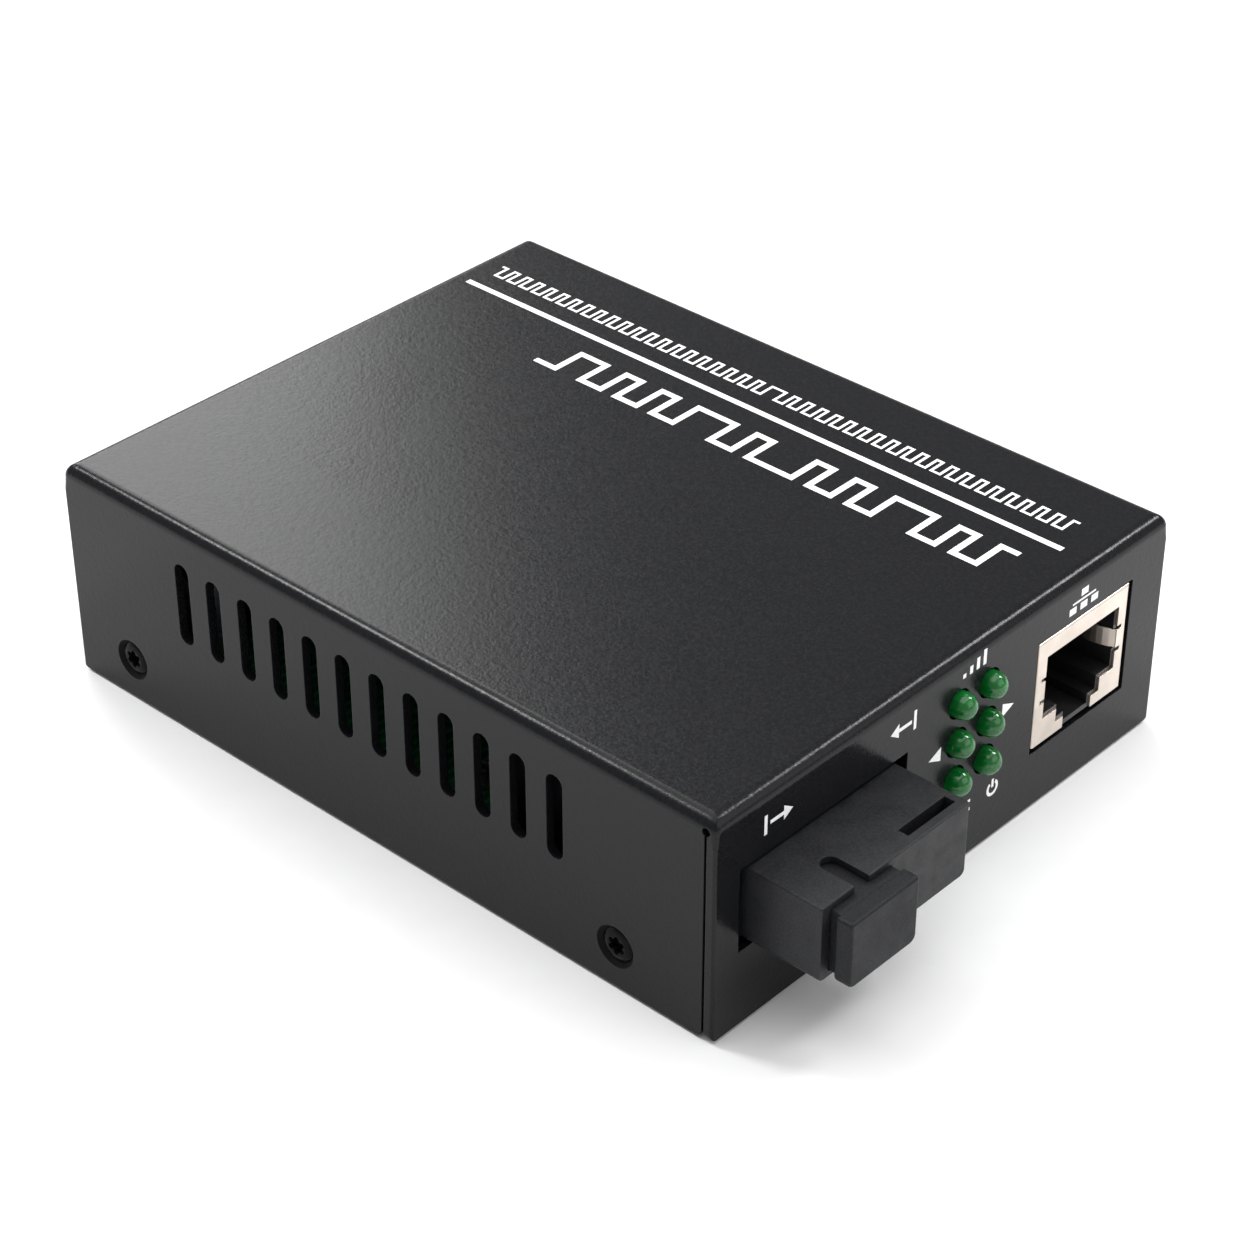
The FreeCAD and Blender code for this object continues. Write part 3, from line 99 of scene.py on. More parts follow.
# ---------------------------------------------------------------- finishes
class Shader:
    """A material's nodes, added one by one around a principled shader."""

    def __init__(self, name: str) -> None:
        """Start a material.

        Args:
            name: the material's name.
        """
        self.material = bpy.data.materials.new(name)
        self.material.use_nodes = True
        self.tree = self.material.node_tree
        self.tree.nodes.clear()
        self.surface = self.add("ShaderNodeBsdfPrincipled")
        output = self.add("ShaderNodeOutputMaterial")
        self.join(self.surface.outputs["BSDF"], output.inputs["Surface"])
        self.place = self.add("ShaderNodeTexCoord").outputs["Object"]

    def add(self, kind: str, **settings: object) -> bpy.types.Node:
        """Add a node.

        Args:
            kind: the node's type name.
            settings: the node's own properties.

        Returns:
            The new node.
        """
        node = self.tree.nodes.new(kind)
        for name, value in settings.items():
            setattr(node, name, value)
        return node

    def join(self, source: bpy.types.NodeSocket, target: bpy.types.NodeSocket) -> None:
        """Link one socket to another."""
        self.tree.links.new(source, target)

    def noise(self, size: float, detail: float = 3.0,
              run: Triple = (1.0, 1.0, 1.0)) -> bpy.types.NodeSocket:
        """Add a noise pattern.

        Args:
            size: about how wide its lumps are.
            detail: how many finer layers it has.
            run: how many times longer the lumps are along each axis.

        Returns:
            Its value, about 0.5 on average.
        """
        mapping = self.add("ShaderNodeMapping")
        mapping.inputs["Scale"].default_value = [1.0 / (size * r) for r in run]
        self.join(self.place, mapping.inputs["Vector"])
        texture = self.add("ShaderNodeTexNoise")
        texture.inputs["Scale"].default_value = 1.0
        texture.inputs["Detail"].default_value = detail
        self.join(mapping.outputs["Vector"], texture.inputs["Vector"])
        return texture.outputs["Fac"]

    def fit(self, value: bpy.types.NodeSocket, low: float, high: float, start: float = 0.3,
            end: float = 0.7) -> bpy.types.NodeSocket:
        """Stretch a value from one range to another.

        Args:
            value: the value to stretch.
            low: what the start becomes.
            high: what the end becomes.
            start: where the value's range begins.
            end: where it ends.

        Returns:
            The stretched value.
        """
        node = self.add("ShaderNodeMapRange")
        for name, number in (("From Min", start), ("From Max", end), ("To Min", low), ("To Max", high)):
            node.inputs[name].default_value = number
        self.join(value, node.inputs["Value"])
        return node.outputs["Result"]

    def mix(self, factor: bpy.types.NodeSocket, first: Colour | bpy.types.NodeSocket,
            second: Colour) -> bpy.types.NodeSocket:
        """Mix two colours.

        Args:
            factor: how much of the second colour there is.
            first: the first colour, or a socket that gives it.
            second: the second colour.

        Returns:
            The mixed colour.
        """
        node = self.add("ShaderNodeMix", data_type="RGBA")
        if isinstance(first, tuple):
            node.inputs["A"].default_value = (*first, 1.0)
        else:
            self.join(first, node.inputs["A"])
        node.inputs["B"].default_value = (*second, 1.0)
        self.join(factor, node.inputs["Factor"])
        return node.outputs["Result"]

    def bump(self, height: bpy.types.NodeSocket, depth: float,
             normal: bpy.types.NodeSocket | None = None) -> bpy.types.NodeSocket:
        """Add a bump.

        Args:
            height: the pattern, from 0 to 1.
            depth: how high 1 stands.
            normal: the normal that it starts from, if not the surface's own.

        Returns:
            The bumped normal.
        """
        node = self.add("ShaderNodeBump")
        node.inputs["Distance"].default_value = depth
        self.join(height, node.inputs["Height"])
        if normal is not None:
            self.join(normal, node.inputs["Normal"])
        return node.outputs["Normal"]

    def soft_edges(self, radius: float) -> bpy.types.NodeSocket:
        """Give the normal of a surface whose sharp edges are rounded.

        Args:
            radius: how far they are rounded.

        Returns:
            The rounded normal.
        """
        node = self.add("ShaderNodeBevel", samples=EDGE_SAMPLES)
        node.inputs["Radius"].default_value = radius
        return node.outputs["Normal"]

    def skin(self, colour: bpy.types.NodeSocket, roughness: bpy.types.NodeSocket,
             normal: bpy.types.NodeSocket) -> None:
        """Give the surface its colour, roughness and normal."""
        for name, source in (("Base Color", colour), ("Roughness", roughness), ("Normal", normal)):
            self.join(source, self.surface.inputs[name])

    def set(self, **values: object) -> None:
        """Set plain values on the shader's own sockets, by name with underscores for spaces."""
        for name, value in values.items():
            self.surface.inputs[name.replace("_", " ")].default_value = value


@dataclass(frozen=True)
class Coat:
    """A paint, plastic or other dull finish with a fine grain and slow mottling.

    Attributes:
        colour: the main colour.
        speck: the colour of the lighter specks.
        roughness: the middle of the roughness.
        swing: how far the roughness goes up and down.
        grain: the size of the grain.
        relief: the height of the grain.
        detail: how many finer layers the grain has.
        patch: the size of the slow mottling.
        edge: the radius that sharp edges are softened by.
        gloss: the specular level.
        specks: the values of the grain where specks start and where they are full.
        mottle: the most that the mottling mixes in of the specks' colour.
        grain_wear: whether the roughness follows the grain, and not the mottling.
    """

    colour: Colour
    speck: Colour
    roughness: float
    swing: float = 0.05
    grain: float = 0.3 * MM
    relief: float = 0.01 * MM
    detail: float = 3.0
    patch: float = 6.0 * MM
    edge: float = 0.1 * MM
    gloss: float = 0.5
    specks: Point = (0.35, 0.8)
    mottle: float = 0.35
    grain_wear: bool = False

    def material(self, name: str) -> bpy.types.Material:
        """Build the material.

        Args:
            name: its name.

        Returns:
            The material.
        """
        shader = Shader(name)
        grain = shader.noise(self.grain, self.detail)
        patch = shader.noise(self.patch)
        fine = shader.mix(shader.fit(grain, 0.0, 1.0, *self.specks), self.colour, self.speck)
        shader.skin(shader.mix(shader.fit(patch, 0.0, self.mottle), fine, self.speck),
                    shader.fit(grain if self.grain_wear else patch, self.roughness - self.swing,
                               self.roughness + self.swing),
                    shader.bump(grain, self.relief, self.ground(shader)))
        shader.set(Specular_IOR_Level=self.gloss)
        return shader.material

    def ground(self, shader: Shader) -> bpy.types.NodeSocket:
        """Give the normal under the grain."""
        return shader.soft_edges(self.edge)


@dataclass(frozen=True)
class PowderCoat(Coat):
    """The case's satin powder coat: a fine grain over orange peel.

    Attributes:
        peel: the width of the orange peel's waves.
        peel_relief: their height.
    """

    colour: Colour = (0.0058, 0.0060, 0.0070)
    speck: Colour = (0.0095, 0.0098, 0.0110)
    roughness: float = 0.215
    grain: float = 0.32 * MM
    relief: float = 0.014 * MM
    detail: float = 4.0
    patch: float = 11.0 * MM
    edge: float = 0.12 * MM
    gloss: float = 0.165
    specks: Point = (0.4, 0.75)
    mottle: float = 0.2
    grain_wear: bool = True
    peel: float = 0.75 * MM
    peel_relief: float = 0.012 * MM

    def ground(self, shader: Shader) -> bpy.types.NodeSocket:
        """Give the normal under the grain, with the orange peel in it."""
        waves = shader.noise(self.peel, detail=2.0)
        return shader.bump(waves, self.peel_relief, super().ground(shader))


class Grain(Enum):
    """Which way a rolled or brushed metal's lines run."""

    ALONG_X = (LINE_RUN, 1.0, 1.0)
    ALONG_Y = (1.0, LINE_RUN, 1.0)
    ALONG_Z = (1.0, 1.0, LINE_RUN)
    NONE = (1.0, 1.0, 1.0)


@dataclass(frozen=True)
class Plate:
    """A plated or bare metal with fine lines and faint tarnish.

    Attributes:
        colour: the clean metal's colour.
        tarnish: the colour of the duller patches.
        roughness: the middle of the roughness.
        grain: which way the lines run.
        line: how wide the lines are.
        relief: how deep they are.
        edge: the radius that sharp edges are softened by.
        patch: the size of the duller patches.
        dullest: the most that they mix in of the tarnish.
        smoother: how far the roughness goes down.
        rougher: how far it goes up.
    """

    colour: Colour
    tarnish: Colour
    roughness: float = 0.3
    grain: Grain = Grain.NONE
    line: float = 0.08 * MM
    relief: float = 0.002 * MM
    edge: float = 0.05 * MM
    patch: float = 3.0 * MM
    dullest: float = 0.8
    smoother: float = 0.06
    rougher: float = 0.08

    def material(self, name: str) -> bpy.types.Material:
        """Build the material.

        Args:
            name: its name.

        Returns:
            The material.
        """
        shader = Shader(name)
        lines = shader.noise(self.line, run=self.grain.value)
        patch = shader.noise(self.patch)
        shader.skin(shader.mix(shader.fit(patch, 0.0, self.dullest), self.colour, self.tarnish),
                    shader.fit(lines, self.roughness - self.smoother, self.roughness + self.rougher),
                    shader.bump(lines, self.relief, shader.soft_edges(self.edge)))
        shader.set(Metallic=1.0)
        return shader.material


@dataclass(frozen=True)
class Laminate:
    """A circuit board: solder mask over woven glass, with copper tracks showing through.

    Attributes:
        mask: the mask's colour over bare laminate.
        track: its colour over copper.
        weave: the width of the woven bundles.
        weave_relief: how high they stand.
        pitch: the unit that the tracks are laid out in.
        length: the length of a panel between tracks, in pitches.
        row: the spacing of the rows, in pitches.
        width: how wide the tracks are, in pitches.
        shift: how far every other row is shifted, as a share of the length.
        track_relief: how high the tracks stand.
        smooth: the least roughness.
        rough: the most roughness.
    """

    mask: Colour = (0.006, 0.085, 0.03)
    track: Colour = (0.016, 0.16, 0.06)
    weave: float = 0.5 * MM
    weave_relief: float = 0.008 * MM
    pitch: float = 1.6 * MM
    length: float = 4.6
    row: float = 0.8
    width: float = 0.13
    shift: float = 0.37
    track_relief: float = 0.03 * MM
    smooth: float = 0.28
    rough: float = 0.4

    def material(self, name: str) -> bpy.types.Material:
        """Build the material.

        Args:
            name: its name.

        Returns:
            The material.
        """
        shader = Shader(name)
        mapping = shader.add("ShaderNodeMapping")
        mapping.inputs["Scale"].default_value = (1.0 / self.pitch, 1.0 / self.pitch, 1.0 / self.pitch)
        shader.join(shader.place, mapping.inputs["Vector"])
        bricks = shader.add("ShaderNodeTexBrick", offset=self.shift)
        for socket, value in (("Scale", 1.0), ("Mortar Size", self.width), ("Brick Width", self.length),
                              ("Row Height", self.row)):
            bricks.inputs[socket].default_value = value
        shader.join(mapping.outputs["Vector"], bricks.inputs["Vector"])
        tracks = bricks.outputs["Fac"]
        glass = shader.noise(self.weave, detail=1.0)
        raised = shader.bump(tracks, self.track_relief)
        shader.skin(shader.mix(tracks, self.mask, self.track),
                    shader.fit(glass, self.smooth, self.rough),
                    shader.bump(glass, self.weave_relief, raised))
        return shader.material


@dataclass(frozen=True)
class Epoxy:
    """A lamp's tinted epoxy: clear and glossy, with a milky body under the skin.

    Attributes:
        colour: the tint.
        deep: a second, darker tint that the slow clouds mix in.
        roughness: the middle of the skin's roughness.
        swing: how far it goes up and down.
        clear: how much of it lets light straight through.
        refraction: how strongly it bends light.
        milk: how much of the rest spreads light under the skin.
        spread: how far red, green and blue spread, in milk depths.
        milk_depth: the depth that they are counted in.
        gloss: the specular level.
        edge: the radius that the dome is smoothed by.
        cloud: the size of the slow changes of tint.
    """

    colour: Colour = (0.004, 0.235, 0.036)
    deep: Colour = (0.003, 0.17, 0.024)
    roughness: float = 0.025
    swing: float = 0.01
    clear: float = 0.4
    refraction: float = 1.53
    milk: float = 0.6
    spread: Triple = (0.3, 1.6, 0.4)
    milk_depth: float = 0.5 * MM
    gloss: float = 0.46
    edge: float = 0.4 * MM
    cloud: float = 3.0 * MM

    def material(self, name: str) -> bpy.types.Material:
        """Build the material.

        Args:
            name: its name.

        Returns:
            The material.
        """
        shader = Shader(name)
        cloud = shader.noise(self.cloud, detail=1.0)
        shader.skin(shader.mix(shader.fit(cloud, 0.0, 1.0), self.colour, self.deep),
                    shader.fit(cloud, self.roughness - self.swing, self.roughness + self.swing),
                    shader.soft_edges(self.edge))
        shader.set(Transmission_Weight=self.clear, IOR=self.refraction, Subsurface_Weight=self.milk,
                   Subsurface_Radius=self.spread, Subsurface_Scale=self.milk_depth,
                   Specular_IOR_Level=self.gloss)
        return shader.material


Finish = Coat | Plate | Laminate | Epoxy


class Slot(Enum):
    """The record's material slots."""

    CASE = "case_coat"
    BLACK_STEEL = "black_steel"
    STEEL = "plain_steel"
    BOARD = "board_laminate"
    MOULDING = "black_moulding"
    CAP = "cap_moulding"
    TIN = "tinned_steel"
    PINS = "tinned_pins"
    CERAMIC = "ceramic"
    NICKEL = "nickel_plate"
    INSULATOR = "black_insulator"
    GOLD = "gold_plate"
    PACKAGE = "chip_package"
    SLEEVE = "capacitor_sleeve"
    FERRITE = "ferrite"
    RESISTOR = "resistor_body"
    CAPACITOR = "capacitor_body"
    LENS = "lamp_lens"


FINISHES: dict[Slot, Finish] = {
    Slot.CASE: PowderCoat(),
    Slot.BLACK_STEEL: Coat((0.004, 0.004, 0.0045), (0.007, 0.007, 0.008), 0.2, grain=0.2 * MM,
                           relief=0.002 * MM, edge=0.16 * MM, gloss=0.05),
    Slot.STEEL: Plate((0.62, 0.62, 0.63), (0.45, 0.45, 0.46), 0.32, edge=0.08 * MM),
    Slot.BOARD: Laminate(),
    Slot.MOULDING: Coat((0.0062, 0.0065, 0.0076), (0.023, 0.0236, 0.0258), 0.46, swing=0.09,
                        grain=0.22 * MM, relief=0.007 * MM, patch=2.0 * MM, edge=0.12 * MM, gloss=0.24),
    Slot.CAP: Coat((0.0058, 0.0061, 0.0072), (0.019, 0.0195, 0.0214), 0.48, swing=0.09,
                   grain=0.26 * MM, relief=0.006 * MM, patch=2.4 * MM, edge=0.1 * MM, gloss=0.15),
    Slot.TIN: Plate((0.70, 0.70, 0.69), (0.5, 0.5, 0.5), 0.26, Grain.ALONG_X),
    Slot.PINS: Plate((0.72, 0.72, 0.71), (0.52, 0.52, 0.52), 0.24, Grain.ALONG_Z),
    Slot.CERAMIC: Coat((0.80, 0.80, 0.78), (0.9, 0.9, 0.88), 0.22, grain=0.1 * MM,
                       relief=0.001 * MM, patch=2.0 * MM, edge=0.05 * MM),
    Slot.NICKEL: Plate((0.70, 0.625, 0.555), (0.56, 0.495, 0.435), 0.34, Grain.ALONG_X,
                       line=0.06 * MM, relief=0.0015 * MM, edge=0.06 * MM),
    Slot.INSULATOR: Coat((0.006, 0.006, 0.0065), (0.011, 0.011, 0.012), 0.38, grain=0.3 * MM,
                         relief=0.004 * MM, patch=2.0 * MM, edge=0.06 * MM),
    Slot.GOLD: Plate((0.90, 0.66, 0.28), (0.74, 0.5, 0.2), 0.22, Grain.ALONG_Y),
    Slot.PACKAGE: Coat((0.016, 0.016, 0.017), (0.03, 0.03, 0.031), 0.52, grain=0.12 * MM,
                       relief=0.006 * MM, patch=1.5 * MM),
    Slot.SLEEVE: Coat((0.11, 0.112, 0.12), (0.14, 0.142, 0.15), 0.3, grain=0.4 * MM,
                      relief=0.003 * MM, patch=3.0 * MM),
    Slot.FERRITE: Coat((0.05, 0.05, 0.053), (0.08, 0.08, 0.083), 0.62, grain=0.15 * MM,
                       relief=0.01 * MM, patch=1.5 * MM),
    Slot.RESISTOR: Coat((0.014, 0.014, 0.015), (0.03, 0.03, 0.03), 0.35, grain=0.1 * MM,
                        relief=0.002 * MM, patch=0.8 * MM),
    Slot.CAPACITOR: Coat((0.33, 0.22, 0.13), (0.45, 0.32, 0.2), 0.4, grain=0.1 * MM,
                         relief=0.002 * MM, patch=0.8 * MM),
    Slot.LENS: Epoxy(),
}
INK = Coat((0.80, 0.80, 0.80), (0.92, 0.92, 0.92), 0.5, grain=0.12 * MM, relief=0.004 * MM,
           patch=1.5 * MM, edge=0.02 * MM)


class Paintshop:
    """Makes each material once and gives it to the nodes that take it."""

    def __init__(self, nodes: dict[str, bpy.types.Object], record: dict) -> None:
        """Read which node takes which slot.

        Args:
            nodes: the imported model's nodes by name.
            record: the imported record.
        """
        self.nodes = nodes
        self.slots = {row["node"]: Slot(row["material_slot"]) for row in record["subparts"]}
        self.made: dict[str, bpy.types.Material] = {}

    def material(self, name: str, finish: Finish) -> bpy.types.Material:
        """Give the material of a finish, made at its first use.

        Args:
            name: the material's name.
            finish: its finish.

        Returns:
            The material.
        """
        if name not in self.made:
            self.made[name] = finish.material(name)
        return self.made[name]

    def dress(self, names: tuple[str, ...]) -> None:
        """Give nodes the material of their slot.

        Args:
            names: the nodes' names.
        """
        for name in names:
            slot = self.slots[name]
            materials = self.nodes[name].data.materials
            materials.clear()
            materials.append(self.material(f"{slot.value}_finish", FINISHES[slot]))
            LOG.info("dressed %s in %s", name, slot.value)


# ---------------------------------------------------------------- printed marks
@dataclass(frozen=True)
class Face:
    """A flat face of the case that ink is printed on.

    Attributes:
        origin: the point where both measures are nought.
        right: the way that marks read.
        up: the way that marks stand.
        shop: where the ink comes from.
    """

    origin: Vector
    right: Vector
    up: Vector
    shop: Paintshop

    def point(self, a: float, b: float, lift: float) -> Vector:
        """Give the point at two measures, lifted off the face."""
        return self.origin + self.right * a + self.up * b + self.right.cross(self.up) * lift


@dataclass
class Mark:
    """One printed mark: flat strokes and patches of ink on a face.

    Attributes:
        name: the piece's name.
        face: the face that it lies on.
        thickness: how far the ink stands off the face.
        sunk: how far its underside lies in the coat.
        mitre: the least cosine that a corner's mitre is reckoned with, so no tip runs out far.
        arc_step: about how far each step round a ring goes, in degrees.
        arc_least: the fewest steps that a ring is made of.
        mesh: the mesh that it is made in.
    """

    name: str
    face: Face
    thickness: float = 0.02 * MM
    sunk: float = 0.02 * MM
    mitre: float = 0.3
    arc_step: float = 12.0
    arc_least: int = 8
    mesh: bmesh.types.BMesh = field(default_factory=bmesh.new)

    def patch(self, outline: list[Point]) -> Mark:
        """Add a filled shape.

        Args:
            outline: its corners, counter-clockwise.

        Returns:
            The mark itself.
        """
        low = [self.mesh.verts.new(self.face.point(a, b, -self.sunk)) for a, b in outline]
        high = [self.mesh.verts.new(self.face.point(a, b, self.thickness)) for a, b in outline]
        self.mesh.faces.new(high)
        self.mesh.faces.new(low[::-1])
        for i, _ in enumerate(outline):
            j = (i + 1) % len(outline)
            self.mesh.faces.new((low[i], low[j], high[j], high[i]))
        return self

    def bar(self, a0: float, b0: float, a1: float, b1: float) -> Mark:
        """Add an upright rectangle between two corners."""
        return self.patch([(a0, b0), (a1, b0), (a1, b1), (a0, b1)])

    def stroke(self, points: list[Point], width: float, closed: bool = False) -> Mark:
        """Add a band of even width along a path, mitred at its corners.

        Args:
            points: the path's points.
            width: the band's width.
            closed: whether the path ends where it begins.

        Returns:
            The mark itself.
        """
        count = len(points)
        rings = []
        for i, (a, b) in enumerate(points):
            before = points[i - 1] if i or closed else None
            after = points[(i + 1) % count] if i < count - 1 or closed else None
            first = Vector((a - before[0], b - before[1])).normalized() if before else None
            second = Vector((after[0] - a, after[1] - b)).normalized() if after else first
            first = first or second
            middle = (first + second).normalized()
            across = Vector((-middle.y, middle.x))
            reach = width / 2 / max(across.dot(Vector((-first.y, first.x))), self.mitre)
            corners = [(a + across.x * s, b + across.y * s) for s in (reach, -reach)]
            rings.append([self.mesh.verts.new(self.face.point(*corners[k], lift))
                          for k, lift in ((0, -self.sunk), (1, -self.sunk), (1, self.thickness),
                                          (0, self.thickness))])
        for i in range(count if closed else count - 1):
            here, there = rings[i], rings[(i + 1) % count]
            for k, _ in enumerate(here):
                j = (k + 1) % len(here)
                self.mesh.faces.new((here[k], there[k], there[j], here[j]))
        if not closed:
            self.mesh.faces.new(rings[0])
            self.mesh.faces.new(rings[-1][::-1])
        return self

    def ring(self, a: float, b: float, radius: float, width: float, start: float = 0.0,
             sweep: float = FULL_TURN) -> Mark:
        """Add a ring or a part of one.

        Args:
            a: its middle, along the face.
            b: its middle, up the face.
            radius: the radius of its middle line.
            width: the band's width.
            start: where it starts, in degrees from the face's right.
            sweep: how far it goes round, in degrees.

        Returns:
            The mark itself.
        """
        whole = sweep >= FULL_TURN
        steps = max(self.arc_least, round(sweep / self.arc_step))
        angles = [math.radians(start + sweep * i / steps) for i in range(steps if whole else steps + 1)]
        path = [(a + radius * math.cos(t), b + radius * math.sin(t)) for t in angles]
        return self.stroke(path, width, closed=whole)

    def finish(self) -> None:
        """Turn the mark into a piece that rides on the case."""
        bmesh.ops.recalc_face_normals(self.mesh, faces=self.mesh.faces)
        data = bpy.data.meshes.new(self.name)
        self.mesh.to_mesh(data)
        self.mesh.free()
        piece = put(self.name, data)
        data.materials.append(self.face.shop.material("white_ink", INK))
        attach(piece, CHASSIS)
        LOG.info("printed %s", self.name)


@dataclass(frozen=True)
class PulseLine:
    """A line that jumps between a low and a high level, as a signal does.

    Attributes:
        name: the piece's name.
        start: where it starts, from the front panel.
        foot: its lower edge, above the rule's middle.
        height: how tall it is.
        stroke: the width of the line.
        unit: the length that its steps are counted in.
        steps: how many units each level lasts, in turn.
    """

    name: str
    start: float
    foot: float
    height: float
    stroke: float
    unit: float
    steps: tuple[int, ...]

    def build(self, face: Face) -> None:
        """Print the line.

        Args:
            face: the face that it lies on.
        """
        low = self.foot + self.stroke / 2
        levels = (low, low + self.height - self.stroke)
        along = self.start
        path = []
        for i, step in enumerate(self.steps):
            level = levels[i % 2]
            path.append((along, level))
            along += step * self.unit
            path.append((along, level))
        Mark(self.name, face).stroke(path, self.stroke).finish()


@dataclass
class TopPrint:
    """White print on the cover's top, read from the right: a rule between two signal lines.

    Attributes:
        rule_inset: the rule's middle from the right wall.
        rule_width: the rule's width.
        rule_front: the rule's front end from the front panel.
        rule_rear: its rear end from the rear panel.
        lines: the two signal lines.
    """

    rule_inset: float = 13.5 * MM
    rule_width: float = 0.8 * MM
    rule_front: float = 4.2 * MM
    rule_rear: float = 3.0 * MM
    lines: tuple[PulseLine, ...] = (
        PulseLine("top_signal", start=6.9 * MM, foot=3.4 * MM, height=5.2 * MM, stroke=0.8 * MM,
                  unit=0.78 * MM, steps=(3, 4, 3, 4, 7, 4, 3, 4, 3, 8, 3, 4, 7, 4, 3, 4, 3, 4, 5, 4)),
        PulseLine("top_clock", start=5.8 * MM, foot=-5.5 * MM, height=2.5 * MM, stroke=0.34 * MM,
                  unit=0.405 * MM, steps=(2, 3) * 20 + (5, 3) + (2, 3) * 20 + (2,)),
    )

    def build(self, shop: Paintshop, low: Vector, high: Vector) -> None:
        """Print the marks.

        Args:
            shop: where the ink comes from.
            low: the cover's lowest corner.
            high: its highest corner.
        """
        face = Face(Vector((high.x - self.rule_inset, low.y, high.z)), Vector((0, 1, 0)),
                    Vector((-1, 0, 0)), shop)
        half = self.rule_width / 2
        rear = high.y - low.y - self.rule_rear
        Mark("top_rule", face).bar(self.rule_front, -half, rear, half).finish()
        for line in self.lines:
            line.build(face)


class Way(Enum):
    """Which way an arrow points, as the sign of its length."""

    RIGHT = 1
    LEFT = -1


@dataclass(frozen=True)
class ArrowHead:
    """A filled arrow head beside the lamps.

    Attributes:
        name: the piece's name.
        base: where its base stands, from the panel's middle.
        height: how high its middle is.
        way: which way it points.
        length: how long it is.
        half: half its height.
    """

    name: str
    base: float
    height: float
    way: Way
    length: float = 1.95 * MM
    half: float = 0.85 * MM

    def build(self, face: Face) -> None:
        """Print the arrow head.

        Args:
            face: the face that it lies on.
        """
        way = self.way.value
        corners = [(self.base, self.height - self.half), (self.base + way * self.length, self.height),
                   (self.base, self.height + self.half)]
        Mark(self.name, face).patch(corners[::way]).finish()


@dataclass(frozen=True)
class PortSign:
    """An arrow beside a stop bar, above one half of the fibre port.

    Attributes:
        name: the piece's name.
        middle: the middle of the arrow, from the panel's middle.
        height: how high the arrow is.
        bar: where the stop bar stands.
        way: which way the arrow points.
        bar_half: half the bar's height.
        length: how long the arrow is.
        stroke: the width of its lines.
        tip_length: how long its head is.
        tip_half: half the height of its head.
    """

    name: str
    middle: float
    height: float
    bar: float
    way: Way
    bar_half: float = 1.15 * MM
    length: float = 3.3 * MM
    stroke: float = 0.42 * MM
    tip_length: float = 1.3 * MM
    tip_half: float = 0.85 * MM

    def build(self, face: Face) -> None:
        """Print the sign.

        Args:
            face: the face that it lies on.
        """
        half = self.stroke / 2
        way = self.way.value
        tail = self.middle - way * self.length / 2
        tip = self.middle + way * self.length / 2
        neck = tip - way * self.tip_length
        first, last = sorted((tail, neck))
        mark = Mark(self.name, face)
        mark.bar(first, self.height - half, last, self.height + half)
        corners = [(neck, self.height - self.tip_half), (tip, self.height),
                   (neck, self.height + self.tip_half)]
        mark.patch(corners[::way])
        mark.bar(self.bar - half, self.height - self.bar_half, self.bar + half,
                 self.height + self.bar_half)
        mark.finish()


